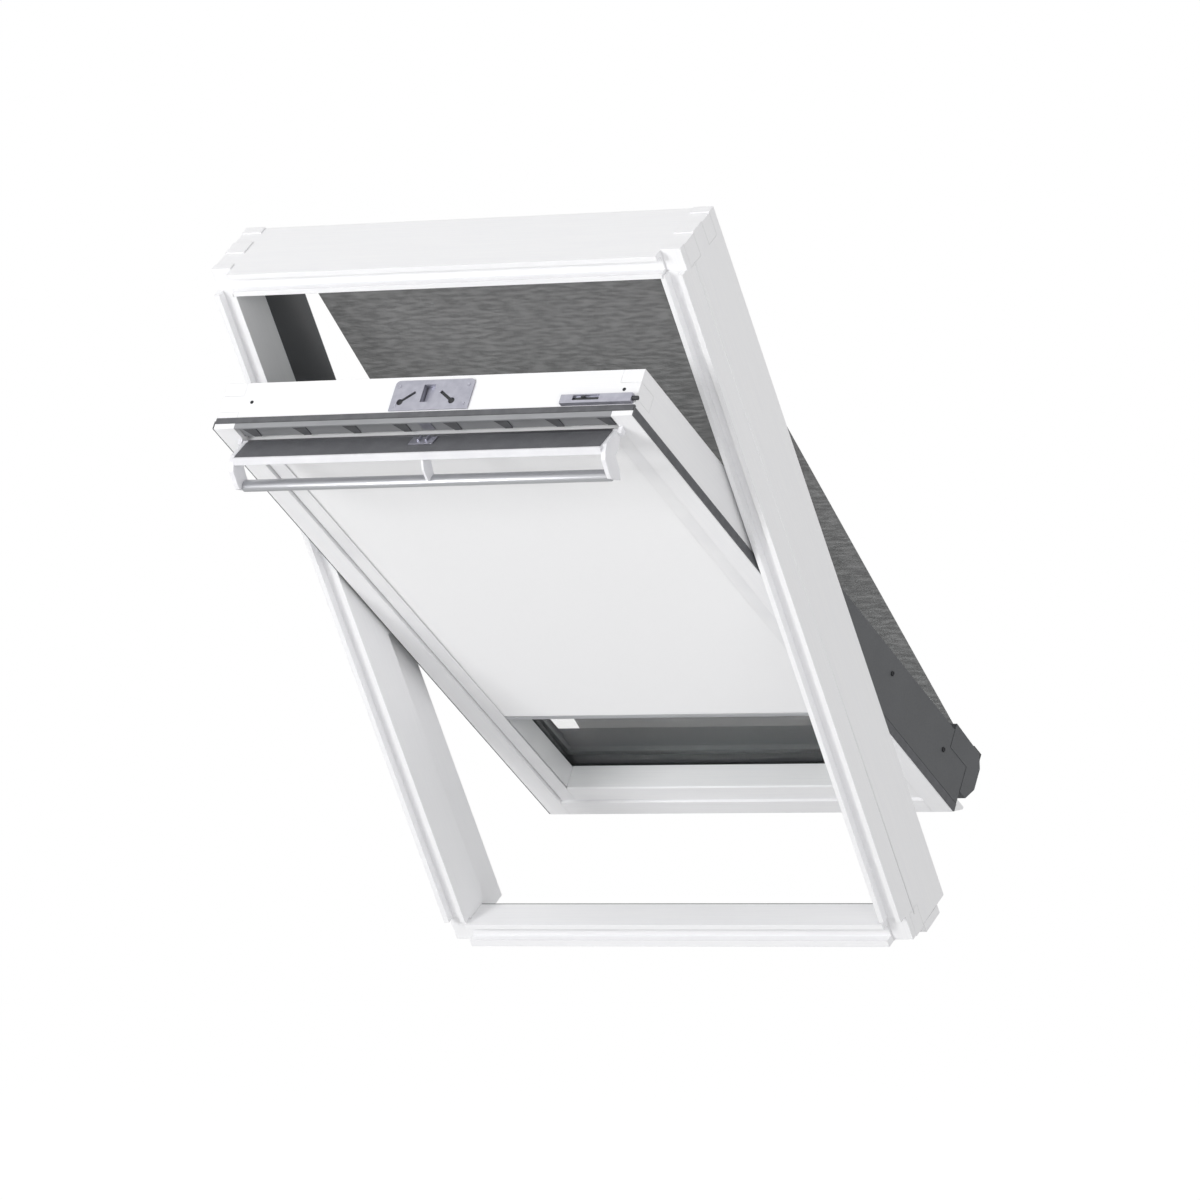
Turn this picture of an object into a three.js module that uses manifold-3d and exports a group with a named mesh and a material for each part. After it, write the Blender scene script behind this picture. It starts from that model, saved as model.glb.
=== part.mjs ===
// A centre-pivot roof window with a roller blind on the room side and a mesh awning blind outside.
// Millimetres, +Z up, +X to the right as seen from the room, the room on the -Y side.
// The origin is the middle of the frame's room-side face. Inside the frame group x runs across,
// y outwards through the roof and z up the roof slope. The sash group has the same axes for the sash.
import * as THREE from "three";
import { mergeVertices } from "three/addons/utils/BufferGeometryUtils.js";
import Module from "manifold-3d";

const wasm = await Module();
wasm.setup();

// Angles in degrees.
const roofPitch = 54.92;
const sashOpening = 24.94;
const awningSlope = 15.16;
const flapOpening = 63.9;

// Clearances, millimetres from here on.
const seat = 0.3;
const runningGap = 0.2;
const pinClearance = 0.08;
const overrun = 2;

// Frame members.
const frameWidth = 780;
const frameHeight = 1178.7;
const frameDepth = 130;
const memberWidth = 36.5;
const lipWidth = 8.5;
const recessWidth = 20;
const recessDepth = 13;
const cornerDepth = 16;
const frontOverrun = 3.5;
const frontShortfall = 4.5;
const fingerProud = 2;
const combLength = 32;
const combShares = [0.2154, 0.4615, 0.6846, 0.8846, 1];
const rebateDepth = 64;
const rebateWidth = 14.5;

// Sill.
const sillStep = 76;
const sillDrop = 2.2;
const sillLedgeFall = 10;
const sillSlopeRun = 20;
const noseInset = 2;
const noseBack = 25;
const noseHeight = 14;
const noseClearance = 0.7;
const sillGasketThickness = 1.9;
const sillGasketHeight = 9;

// Frame cladding over the upper half of each jamb.
const claddingBottom = 20;
const claddingRise = 30;
const claddingTopWidth = 12.5;
const claddingFoot = 34.5;
const sheetMetal = 1.5;

// Sash members, from the sash's own face: z up the sash from its origin, y outwards.
const sashSideGap = 6.5;
const sashTopGap = 74.85;
const sashFootGap = 55.15;
const sashThickness = 77;
const sashSet = 96.7;
const bandWidth = 34;
const bandGroove = 2.5;
const bandGrooveDepth = 5;
const innerStepBack = 4;
const channelWidth = 28;
const channelDepth = 38.4;
const glazingLipWidth = 14;
const ventDepth = 28;
const fingerDepth = 27;
const sashRailHeight = 38;
const bottomBandHeight = 33;
const bottomGroove = 4;
const bottomBlockHeight = 32.5;
const rebateCover = 12.3;
const dripWidth = 23;
const dripTip = 4;
const dripHeight = 25;

// Glass unit.
const paneThickness = 4;
const unitThickness = 24;
const spacerWidth = 12;
const beadThickness = 8.2;
const beadWidth = 15;

// Pivot: the arc tracks and shoes turn about a line outside the wood.
const pivotHeight = -77.4;
const pivotOut = 101.4;
const trackRadius = 60;
const trackWidth = 10;
const trackDepth = 7;
const trackPlateThickness = 8.7;
const trackPlateMargin = 8;
const shoeBase = 2;
const shoeReach = 5.8;
const trackStart = -27;
const trackEnd = 35;
const shoeMiddle = -15;
const shoeSpread = 12;
const arcStep = 4;

// Sash gaskets and cladding.
const gasketThickness = 2;
const gasketStart = 0.5;
const gasketDepth = 12.5;
const headGasketStart = 8.5;
const headGasketDepth = 9.5;
const headGasketProud = 1;
const headGasketSeat = 4;
const sashCladdingStart = 14;
const sashCladdingRise = 30;
const sashCladdingWidth = 22;
const sashCladdingGap = 17.6;
const endPlateThickness = 2;
const capFaceStep = 3;
const capNoseDepth = 115;
const capTopRun = 82;
const capNose = 38;
const capNoseSlope = 19;
const capNoseIn = 60;
const capHeelOut = 35;
const capHeel = 20;
const capShoulder = 25;

// Ventilation grille in the sash head.
const grilleStrip = 8.5;
const grilleSheet = 3;
const grilleWall = 2;
const grilleHeight = 31;
const ribPitch = 84;
const ribPairs = 4;
const ventSlotTop = 21;
const ventSlotFoot = 12;
const ventSlotMargin = 1.5;
const filterGap = 1;
const headLipHeight = 12;

// Lock plate, latch and strike.
const lockPlateWidth = 131;
const lockPlateOffset = 7.5;
const lockPlateStart = 20;
const lockPlateDepth = 50;
const lockPlateThickness = 2;
const lockPlateCorner = 8;
const keySlotWidth = 4.6;
const keyHoleRadius = 5.2;
const keyHoleSegments = 20;
const keySlotInner = 21;
const keySlotOuter = 43;
const keySlotFar = 50;
const keySlotNear = 34;
const latchWidth = 16;
const latchSlot = 19;
const latchOut = 40;
const latchDrop = 10;
const latchLength = 22;
const latchThickness = 7;
const latchPinRadius = 2;
const latchPinLength = 3;
const strikeWidth = 60;
const strikeInset = 54;
const strikeDepth = 35;
const strikePlate = 3;
const strikeTongueWidth = 24;
const strikeTonguePlay = 0.5;
const strikeTongueDepth = 9;
const strikeTongueHeight = 16;

// Barrel bolt on the sash head.
const boltHousingInset = 4;
const boltHousingLength = 116;
const boltProud = 5;
const boltRadius = 3.2;
const boltOut = 26;
const boltHousingDepth = 14;
const boltHousingHeight = 8;
const boltAxisHeight = 4.2;
const boltWindowInset = 57;
const boltWindowLength = 43;
const boltWindowDepth = 5.5;
const boltKnobInset = 85;
const boltTailInset = 96;
const boltKnobWidth = 6;
const boltKnobRise = 10.5;
const boltHoleClearance = 1.5;
const boltHoleDepth = 14;

// Inner blind.
const casingHeight = 37.7;
const casingFront = 1;
const casingDepth = 39;
const casingSheet = 1.6;
const casingEnd = 2;
const casingSlotEnd = 9.5;
const blindRollerRadius = 12.2;
const blindPinRadius = 3;
const blindRollerHeight = 19;
const clothFace = 6;
const clothThickness = 0.6;
const clothSlotDepth = 8.3;
const clothSlotWidth = 2.2;
const clothSlotStart = 5.2;
const clothEdgePlay = 2.8;
const clothRaise = 207.5;
const blindBarHeight = 7;
const blindBarDepth = 4.6;
const blindBarFront = 4.9;

// Ventilation flap with its grip bar.
const flapAxisDrop = 32.5;
const flapAxisFront = 4.5;
const flapInset = 1;
const flapCapThickness = 7;
const flapHubRadius = 4;
const flapRodRadius = 2;
const flapPlateThickness = 2.5;
const flapPlateBack = 2.9;
const linerThickness = 1;
const linerMargin = 1.5;
const flapReach = 49;
const flapEdgeDepth = 6;
const flapEdgeHeight = 12;
const gripReach = 40.4;
const gripFall = 47;
const gripLongRadius = 9;
const gripShortRadius = 6.5;
const gripSegments = 20;
const flapBracketWidth = 6.5;
const flapBracketDepth = 9;
const flapBracketHeight = 11;
const supportMiddle = 10;
const supportThickness = 4;
// Outlines of an end cap and of the middle support: out and along, as shares of the flap's reach.
const capShares = [
  [-0.11, -0.14],
  [0.06, -0.06],
  [0.07, 0.81],
  [-0.08, 1],
  [-0.27, 1.13],
  [-0.49, 1.14],
  [-0.69, 1.15],
  [-0.89, 1.13],
  [-1.19, 0.73],
  [-0.91, 0.61],
  [-0.69, 0.6],
  [-0.46, 0.58],
  [-0.41, 0.36],
  [-0.3, 0.21],
  [-0.19, 0.06],
];
const supportShares = [
  [0, 0.53],
  [0, 0.86],
  [-0.17, 0.86],
  [-0.17, 1.01],
  [-0.43, 1.12],
  [-0.8, 1.08],
  [-0.9, 0.9],
  [-0.9, 0.73],
  [-0.7, 0.7],
  [-0.34, 0.62],
];
const catchHalf = 20;
const catchStart = 8;
const catchLength = 19;
const catchThickness = 1.5;
const earHeight = 3;
const earLength = 12;
const earInner = 5;
const earThickness = 3;

// Awning blind.
const awningInset = 24;
const awningBarHeight = 20;
const awningBarDepth = 8;
const awningBarDrop = 32;
const awningBarStep = 12;
const meshThickness = 1.2;
const exitBelow = 67.85;
const awningRollerRadius = 15;
const awningRollerBack = 37;
const awningRollerRise = 19.4;
const awningPinRadius = 4;
const awningPinLength = 4;
const awningPinBoss = 2;
const cassetteInset = 21.5;
const cassetteCap = 6;
const cassetteSheet = 2;
const cassetteFront = 7;
const cassetteLip = 4.4;
const cassetteTop = 39.9;
const cassetteChamfer = 11.5;
const cassetteFoot = 9.6;
const cassetteBack = 64.1;
const coverSheet = 1.5;
const coverUpstand = 42;
const coverMargin = 2.4;
const hookWidth = 14;
const hookDepth = 33;
const hookStep = 12;
const clipPlace = -200;
const clipWidth = 34;
const clipRise = 12;
const clipGrip = 7;
const clipLeg = 8;
const clipThickness = 2.5;

const seatTolerance = 1e-4;

// Sizes that follow from the ones above.
const halfWidth = frameWidth / 2;
const halfHeight = frameHeight / 2;
const openingX = halfWidth - memberWidth;
const openingZ = halfHeight - memberWidth;
const innerStrip = memberWidth - lipWidth - recessWidth;
const combPlaces = [cornerDepth, ...combShares.map((share) => share * frameDepth)];
const rebateFace = frameDepth - rebateDepth;
const sillBlockDepth = frameDepth - sillStep;
const sillSlopeEnd = sillBlockDepth + sillSlopeRun;
const noseStart = sillBlockDepth + noseInset;
const noseEnd = frameDepth - noseBack;
const sashHalf = openingX - sashSideGap;
const capFaceDepth = capNoseDepth + capFaceStep;
const capNoseOut = capNoseDepth - capNoseSlope;
const awningBarOut = capNoseDepth + awningBarStep;
const sashTop = openingZ - sashTopGap;
const sashBottom = -openingZ - sashFootGap;
const sashFace = frameDepth - sashSet;
const betweenSides = sashHalf - bandWidth;
const channelInner = betweenSides - channelWidth;
const channelBack = innerStepBack + channelDepth;
const glassFront = channelBack + casingSheet;
const railFoot = sashTop - sashRailHeight;
const bandTop = sashBottom + bottomBandHeight;
const blockFoot = bandTop + bottomGroove;
const blockTop = blockFoot + bottomBlockHeight;
const glassTop = railFoot + rebateCover - seat;
const glassBottom = blockTop - rebateCover - seat;
const fingerEnd = ventDepth + fingerDepth;
const casingFoot = railFoot - casingHeight - seat;
const channelTop = casingFoot - seat;
const clothBottom = blockTop + clothRaise;
const boltHousingEnd = sashHalf - boltHousingInset;
const boltLeft = boltHousingEnd - boltHousingLength;
const boltTip = sashHalf + boltProud;
const boltWindowEnd = sashHalf - boltWindowInset;
const boltWindowStart = boltWindowEnd - boltWindowLength;
const boltKnobStart = sashHalf - boltKnobInset;
const flapAxisHeight = sashTop - flapAxisDrop;
const flapHalfLength = betweenSides - flapInset;
const awningHalfWidth = sashHalf - awningInset;
const awningBarAlong = sashBottom - awningBarDrop;
const exitHeight = openingZ - exitBelow;
const cassetteHalfLength = openingX - cassetteInset;
const strikeStart = frameDepth - strikeInset;
const pivotSegments = Math.round(360 / arcStep);
const flapTurn = THREE.MathUtils.degToRad(flapOpening);
const sashTurn = THREE.MathUtils.degToRad(sashOpening);
const awningTurn = THREE.MathUtils.degToRad(awningSlope);

// A point of the sash, along and out, in the frame's own z and y.
function inFrame(along, out) {
  return {
    z: along * Math.cos(sashTurn) + out * Math.sin(sashTurn),
    y: sashFace - along * Math.sin(sashTurn) + out * Math.cos(sashTurn),
  };
}

const pivot = inFrame(pivotHeight, pivotOut);
const awningBarPlace = inFrame(awningBarAlong, awningBarOut);
const exitOut = awningBarPlace.y - (exitHeight - awningBarPlace.z) * Math.tan(awningTurn);
const awningRollerPlace = { y: exitOut + awningRollerRise, z: exitHeight + awningRollerBack };

const materials = {
  paintedWood: { color: 0xf4f4f6, roughness: 0.45, metalness: 0 },
  whitePlastic: { color: 0xeeeef0, roughness: 0.4, metalness: 0 },
  blackRubber: { color: 0x2c2d30, roughness: 0.8, metalness: 0 },
  greyCladding: { color: 0x55575b, roughness: 0.5, metalness: 0.7 },
  greyPlastic: { color: 0x8b8c90, roughness: 0.5, metalness: 0 },
  darkPlastic: { color: 0x3a3b3f, roughness: 0.6, metalness: 0 },
  steel: { color: 0xb4b4be, roughness: 0.35, metalness: 0.9 },
  anodised: { color: 0xa9aaae, roughness: 0.35, metalness: 0.8 },
  glass: { color: 0xe6f0ee, roughness: 0.05, metalness: 0, transparent: true, opacity: 0.35 },
  foam: { color: 0x47484c, roughness: 0.95, metalness: 0 },
  cloth: { color: 0xf7f7f7, roughness: 0.9, metalness: 0 },
  mesh: { color: 0x6c6e72, roughness: 0.9, metalness: 0 },
};

// A closed geometry as a solid that can be joined and cut.
function solid(geometry) {
  geometry.deleteAttribute("normal");
  geometry.deleteAttribute("uv");
  const merged = mergeVertices(geometry, seatTolerance);
  const vertProperties = merged.getAttribute("position").array;
  const triVerts = new Uint32Array(merged.index.array);
  return new wasm.Manifold(new wasm.Mesh({ numProp: 3, vertProperties, triVerts }));
}

function join(first, ...others) {
  return others.reduce((whole, piece) => whole.add(piece), first);
}

function cut(first, ...others) {
  return others.reduce((whole, piece) => whole.subtract(piece), first);
}

// A block between two places on each axis, given in either order.
function block([x0, x1], [y0, y1], [z0, z1]) {
  const geometry = new THREE.BoxGeometry(Math.abs(x1 - x0), Math.abs(y1 - y0), Math.abs(z1 - z0));
  geometry.translate((x0 + x1) / 2, (y0 + y1) / 2, (z0 + z1) / 2);
  return solid(geometry);
}

function extruded(points, length) {
  const shape = new THREE.Shape(points.map(([a, b]) => new THREE.Vector2(a, b)));
  return new THREE.ExtrudeGeometry(shape, { depth: length, bevelEnabled: false });
}

// An outline of [y, z] points carried across, from one x to another.
function across(points, from, to) {
  const geometry = extruded(points, Math.abs(to - from));
  const turn = new THREE.Matrix4().makeBasis(
    new THREE.Vector3(0, 1, 0),
    new THREE.Vector3(0, 0, 1),
    new THREE.Vector3(1, 0, 0),
  );
  geometry.applyMatrix4(turn);
  geometry.translate(Math.min(from, to), 0, 0);
  return solid(geometry);
}

// An outline of [x, y] points carried up, from one z to another.
function upwards(points, from, to) {
  const geometry = extruded(points, Math.abs(to - from));
  geometry.translate(0, 0, Math.min(from, to));
  return solid(geometry);
}

// A round bar along x about the line through y and z.
function barX(radius, from, to, y, z, segments = 32) {
  const geometry = new THREE.CylinderGeometry(radius, radius, Math.abs(to - from), segments);
  geometry.rotateZ(Math.PI / 2);
  geometry.translate((from + to) / 2, y, z);
  return solid(geometry);
}

// The outline of a folded sheet: a path and the same path moved to its left by the thickness.
function folded(path, thickness) {
  const points = path.map(([a, b]) => new THREE.Vector2(a, b));
  const moved = points.map((point, i) => {
    const before = points[Math.max(i - 1, 0)];
    const after = points[Math.min(i + 1, points.length - 1)];
    const into = i > 0 ? point.clone().sub(before).normalize() : after.clone().sub(point).normalize();
    const out = i < points.length - 1 ? after.clone().sub(point).normalize() : into;
    const side = new THREE.Vector2(-into.y, into.x);
    const bisector = side.clone().add(new THREE.Vector2(-out.y, out.x)).normalize();
    return point.clone().addScaledVector(bisector, thickness / bisector.dot(side));
  });
  return [...points, ...moved.reverse()].map((point) => [point.x, point.y]);
}

// A sector of a ring in the y-z plane about the pivot, angles in degrees from straight inwards,
// positive towards the sill.
function sector(centre, inner, outer, start, end, from, to) {
  const steps = Math.round(((end - start) / 360) * pivotSegments);
  const place = (radius, i) => {
    const angle = THREE.MathUtils.degToRad(start + ((end - start) * i) / steps);
    return [centre.y - radius * Math.cos(angle), centre.z - radius * Math.sin(angle)];
  };
  const indices = Array.from({ length: steps + 1 }, (_, i) => i);
  const outline = [...indices.map((i) => place(outer, i)), ...indices.reverse().map((i) => place(inner, i))];
  return across(outline, from, to);
}

// One named mesh with its own material.
function mesh(name, whole, look) {
  const { vertProperties, triVerts, numProp } = whole.getMesh();
  const positions = new Float32Array(triVerts.length * 3);
  triVerts.forEach((vertex, i) => {
    positions.set(vertProperties.subarray(vertex * numProp, vertex * numProp + 3), i * 3);
  });
  const geometry = new THREE.BufferGeometry();
  geometry.setAttribute("position", new THREE.BufferAttribute(positions, 3));
  geometry.computeVertexNormals();
  const made = new THREE.Mesh(geometry, new THREE.MeshStandardMaterial(materials[look]));
  made.name = name;
  return made;
}

const sides = [
  { word: "left", sign: -1 },
  { word: "right", sign: 1 },
];

// Comb joint layers: the jambs own the first, third and fifth, the head the others.
const combLayers = combPlaces.slice(0, -1).map((from, i) => ({ from, to: combPlaces[i + 1], jamb: i % 2 === 0 }));

// The frame's head: a rail with the lining recess on its room side and comb fingers at its ends.
function frameHead() {
  const recessTop = halfHeight - lipWidth;
  const outline = [
    [0, openingZ],
    [0, openingZ + innerStrip],
    [recessDepth, openingZ + innerStrip],
    [recessDepth, recessTop],
    [0, recessTop],
    [0, halfHeight],
    [frameDepth, halfHeight],
    [frameDepth, openingZ],
  ];
  const heights = [openingZ - overrun, halfHeight + overrun];
  const cuts = sides.flatMap(({ sign }) => {
    const end = sign * (halfWidth + overrun);
    const front = block([sign * (openingX + frontOverrun), end], [-overrun, cornerDepth], heights);
    const slots = combLayers
      .filter((layer) => layer.jamb)
      .map(({ from, to }) => {
        const last = to === frameDepth ? to + overrun : to;
        return block([sign * (halfWidth - combLength), end], [from, last], heights);
      });
    return [front, ...slots];
  });
  return cut(across(outline, -halfWidth, halfWidth), ...cuts);
}

// The frame's sill: the same recess, a sloped ledge behind it and a nose under the sash.
function frameSill() {
  const foot = -halfHeight - sillDrop;
  const ledge = -halfHeight - noseClearance;
  const outline = [
    [0, -openingZ],
    [0, -openingZ - innerStrip],
    [recessDepth, -openingZ - innerStrip],
    [recessDepth, -openingZ - innerStrip - recessWidth],
    [0, -openingZ - innerStrip - recessWidth],
    [0, foot],
    [noseStart, foot],
    [noseStart, ledge - noseHeight],
    [noseEnd, ledge - noseHeight],
    [noseEnd, ledge],
    [sillSlopeEnd, ledge],
    [sillBlockDepth, -openingZ - sillLedgeFall],
    [sillBlockDepth, -openingZ],
  ];
  const heights = [-openingZ + overrun, foot - overrun];
  const cuts = sides.flatMap(({ sign }) => {
    const end = sign * (halfWidth + overrun);
    return [
      block([sign * (openingX + frontOverrun), end], [-overrun, cornerDepth], heights),
      block([sign * (halfWidth - combLength), end], [cornerDepth - overrun, combPlaces[1]], heights),
      block(
        [sign * (openingX - seat), end],
        [sillBlockDepth, noseEnd + overrun],
        [-openingZ + overrun, -halfHeight - seat],
      ),
    ];
  });
  return cut(across(outline, -halfWidth, halfWidth), ...cuts);
}

// A jamb: the recess along its length, fingers at its head, a rebate beside the sash's lower half,
// room for the cladding's inner leg above, the pivot plate's pocket and the bolt's hole.
function frameJamb(sign) {
  const outline = [
    [openingX, 0],
    [openingX + innerStrip, 0],
    [openingX + innerStrip, recessDepth],
    [halfWidth - lipWidth, recessDepth],
    [halfWidth - lipWidth, 0],
    [halfWidth, 0],
    [halfWidth, frameDepth],
    [openingX, frameDepth],
  ].map(([x, y]) => [sign * x, y]);
  const inner = sign * (openingX - overrun);
  const outer = sign * (halfWidth + overrun);
  const shoulder = sign * (halfWidth - combLength + seat);
  const back = frameDepth + overrun;
  const headTop = halfHeight + fingerProud + overrun;
  const cuts = [
    block([inner, outer], [-overrun, cornerDepth], [openingZ + frontOverrun, headTop]),
    block([inner, outer], [-overrun, cornerDepth], [-openingZ + frontShortfall, -halfHeight - overrun]),
    block([inner, sign * (openingX + sheetMetal + seat)], [rebateFace, back], [claddingBottom - seat, openingZ]),
    block([inner, sign * (openingX + rebateWidth)], [rebateFace, back], [trackPlate.low - overrun, -halfHeight - overrun]),
    block(
      [inner, sign * (openingX + trackPlateThickness + seat)],
      [trackPlate.front - seat, trackPlate.rear + seat],
      [trackPlate.low - seat, trackPlate.high + seat],
    ),
  ];
  const headFoot = openingZ - seat;
  cuts.push(block([inner, shoulder], [-overrun, back], [headFoot, headTop]));
  combLayers
    .filter((layer) => !layer.jamb)
    .forEach(({ from, to }) => cuts.push(block([inner, outer], [from - seat, to + seat], [headFoot, headTop])));
  const sillTop = -openingZ + seat;
  const sillFoot = -halfHeight - overrun;
  cuts.push(block([inner, shoulder], [-overrun, sillBlockDepth + seat], [sillTop, sillFoot]));
  cuts.push(block([inner, outer], [combPlaces[1] - seat, sillBlockDepth + seat], [sillTop, sillFoot]));
  const whole = cut(upwards(outline, -halfHeight, halfHeight + fingerProud), ...cuts);
  return sign > 0 ? cut(whole, boltHole()) : whole;
}

// The hole that the barrel bolt enters when the sash is shut.
function boltHole() {
  const shut = { along: sashTop + boltAxisHeight, out: boltOut };
  const turn = { z: shut.along - pivotHeight, y: shut.out - pivotOut };
  const place = { z: pivot.z + turn.z, y: pivot.y + turn.y };
  const radius = boltRadius + boltHoleClearance;
  return barX(radius, openingX - overrun, openingX + boltHoleDepth, place.y, place.z);
}

// Track plate limits in the frame's y and z, round the arc of its slot.
const trackOuter = trackRadius + trackWidth / 2;
const trackInner = trackRadius - trackWidth / 2;
const trackPlate = {
  front: pivot.y - trackOuter - trackPlateMargin,
  rear: pivot.y - trackInner * Math.cos(THREE.MathUtils.degToRad(trackEnd)) + trackPlateMargin,
  low: pivot.z - trackOuter * Math.sin(THREE.MathUtils.degToRad(trackEnd)) - trackPlateMargin,
  high: pivot.z - trackOuter * Math.sin(THREE.MathUtils.degToRad(trackStart)) + trackPlateMargin,
};

function pivotTrack(sign) {
  const face = openingX + seat;
  const plate = block(
    [sign * face, sign * (openingX + trackPlateThickness)],
    [trackPlate.front, trackPlate.rear],
    [trackPlate.low, trackPlate.high],
  );
  const from = sign * (face - overrun);
  return cut(plate, sector(pivot, trackInner, trackOuter, trackStart, trackEnd, from, sign * (face + trackDepth)));
}

// The shoe on the sash side: a base let into the wood and an arc tongue that runs in the track.
const sashPivot = { z: pivotHeight, y: pivotOut };

function shoeBaseBlock(sign, gap) {
  const start = THREE.MathUtils.degToRad(shoeMiddle - shoeSpread);
  const end = THREE.MathUtils.degToRad(shoeMiddle + shoeSpread);
  const low = sashPivot.z - trackOuter * Math.sin(end) - trackPlateMargin;
  const high = sashPivot.z - trackOuter * Math.sin(start) + trackPlateMargin;
  const front = sashPivot.y - trackOuter - gap;
  const rear = sashPivot.y - trackInner * Math.cos(start) + trackPlateMargin;
  const base = sign * (sashHalf - shoeBase - gap);
  const face = gap > 0 ? sign * (sashHalf + overrun) : sign * sashHalf;
  return block([base, face], [front, rear + gap], [low - gap, high + gap]);
}

function pivotShoe(sign) {
  const tongue = sector(
    sashPivot,
    trackInner + runningGap,
    trackOuter - runningGap,
    shoeMiddle - shoeSpread,
    shoeMiddle + shoeSpread,
    sign * (sashHalf - shoeBase / 2),
    sign * (openingX + shoeReach),
  );
  return join(shoeBaseBlock(sign, 0), tongue);
}

// Aluminium channel over the upper half of a jamb: inner leg down beside the sash, flat top and a
// sloped outer side.
function frameCladding(sign) {
  const top = frameDepth + claddingRise;
  const path = [
    [openingX + claddingFoot, frameDepth + seat + sheetMetal],
    [openingX + claddingTopWidth, top],
    [openingX, top],
    [openingX, rebateFace + seat],
  ];
  const outline = folded(path, sheetMetal).map(([x, y]) => [sign * x, y]);
  const whole = upwards(outline, claddingBottom, openingZ - seat);
  return sign > 0 ? cut(whole, boltHole()) : whole;
}

function sillGasket() {
  const from = sillBlockDepth + seat;
  const top = -openingZ - seat;
  return block([-openingX + seat, openingX - seat], [from, from + sillGasketThickness], [top - sillGasketHeight, top]);
}

// Awning cassette: a folded hood, open downwards, round the awning's roller.
const cassetteLow = exitHeight - cassetteFront;
const cassetteHigh = exitHeight + cassetteBack;
const cassetteHood = [
  [exitOut + cassetteLip, cassetteLow],
  [exitOut + cassetteTop - cassetteChamfer, cassetteLow],
  [exitOut + cassetteTop, cassetteLow + cassetteChamfer],
  [exitOut + cassetteTop, cassetteHigh - cassetteChamfer],
  [exitOut + cassetteTop - cassetteChamfer, cassetteHigh],
  [exitOut - cassetteFoot, cassetteHigh],
];

function awningCassette() {
  return across(folded(cassetteHood, cassetteSheet), -cassetteHalfLength, cassetteHalfLength);
}

function cassetteEnd(sign) {
  const from = cassetteHalfLength + seat;
  const plate = across(cassetteHood, sign * from, sign * (from + cassetteCap));
  const { y, z } = awningRollerPlace;
  const depth = from + awningPinLength + seat;
  const bore = barX(awningPinRadius + pinClearance, sign * (from - overrun), sign * depth, y, z);
  return cut(plate, bore);
}

// The awning's roller with its wound mesh and a pin at each end.
function awningRoller() {
  const { y, z } = awningRollerPlace;
  const end = cassetteHalfLength - awningPinBoss;
  const pin = cassetteHalfLength + seat + awningPinLength;
  return join(barX(awningRollerRadius, -end, end, y, z), barX(awningPinRadius, -pin, pin, y, z));
}

// Flat cover over the frame's head with an upstand behind the cassette.
function headCover() {
  const front = cassetteHigh + seat;
  const foot = frameDepth + seat;
  const path = [
    [foot + coverUpstand, front],
    [foot, front],
    [foot, halfHeight - coverMargin],
  ];
  return across(folded(path, -coverSheet), -openingX + seat, openingX - seat);
}

// Strike on the frame's head: a plate with a tongue that the latch catches behind.
function lockStrike() {
  const top = openingZ - seat;
  const foot = top - strikePlate;
  const plate = block([-strikeWidth / 2, strikeWidth / 2], [strikeStart, strikeStart + strikeDepth], [foot, top]);
  const latchFace = pivot.y + latchOut - pivotOut - latchThickness / 2;
  const tongueEnd = latchFace - strikeTonguePlay;
  const tongue = block(
    [-strikeTongueWidth / 2, strikeTongueWidth / 2],
    [tongueEnd - strikeTongueDepth, tongueEnd],
    [foot - strikeTongueHeight, top - strikePlate / 2],
  );
  return join(plate, tongue);
}

// A sash side: the proud band, the lip that the glass lies on, and room for the rails' fingers.
function sashSide(sign) {
  const stick = block([sign * betweenSides, sign * sashHalf], [0, sashThickness], [sashBottom, sashTop]);
  const lip = block(
    [sign * (betweenSides - glazingLipWidth), sign * (betweenSides + overrun)],
    [ventDepth, glassFront - seat],
    [blockFoot + seat, channelTop],
  );
  const width = [sign * (betweenSides - overrun), sign * (sashHalf + overrun)];
  const fingers = [ventDepth - seat, fingerEnd + seat];
  return cut(
    join(stick, lip),
    block(width, fingers, [railFoot - seat, sashTop + overrun]),
    block(width, fingers, [sashBottom - overrun, blockFoot + seat]),
    block(width, [headGasketStart, headGasketStart + headGasketDepth], [sashTop - headGasketSeat, sashTop + overrun]),
    shoeBaseBlock(sign, seat),
  );
}

// The sash's top rail behind the vent, with a finger at each end and a pocket for the latch.
function sashHead() {
  const inner = betweenSides - seat;
  const lipFront = headGasketStart + headGasketDepth + seat;
  const outline = [
    [ventDepth, railFoot],
    [glassFront - seat, railFoot],
    [glassFront - seat, railFoot + rebateCover],
    [sashThickness, railFoot + rebateCover],
    [sashThickness, sashTop],
    [lipFront, sashTop],
    [lipFront, sashTop - headLipHeight],
    [ventDepth, sashTop - headLipHeight],
  ];
  const rail = across(outline, -inner, inner);
  const fingers = sides.flatMap(({ sign }) => [
    block([sign * (inner - overrun), sign * sashHalf], [ventDepth, fingerEnd], [railFoot + rebateCover, sashTop]),
    block([sign * inner, sign * sashHalf], [ventDepth, fingerEnd], [railFoot, railFoot + rebateCover + overrun]),
  ]);
  const half = latchSlot / 2;
  const pocket = block(
    [-half, half],
    [latchOut - latchThickness, latchOut + latchLength + seat],
    [latchAxis - latchThickness, sashTop + overrun],
  );
  const pin = latchWidth / 2 + latchPinLength + seat;
  const bore = barX(latchPinRadius + pinClearance, -pin, pin, latchOut, latchAxis);
  return cut(join(rail, ...fingers), pocket, bore);
}

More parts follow.
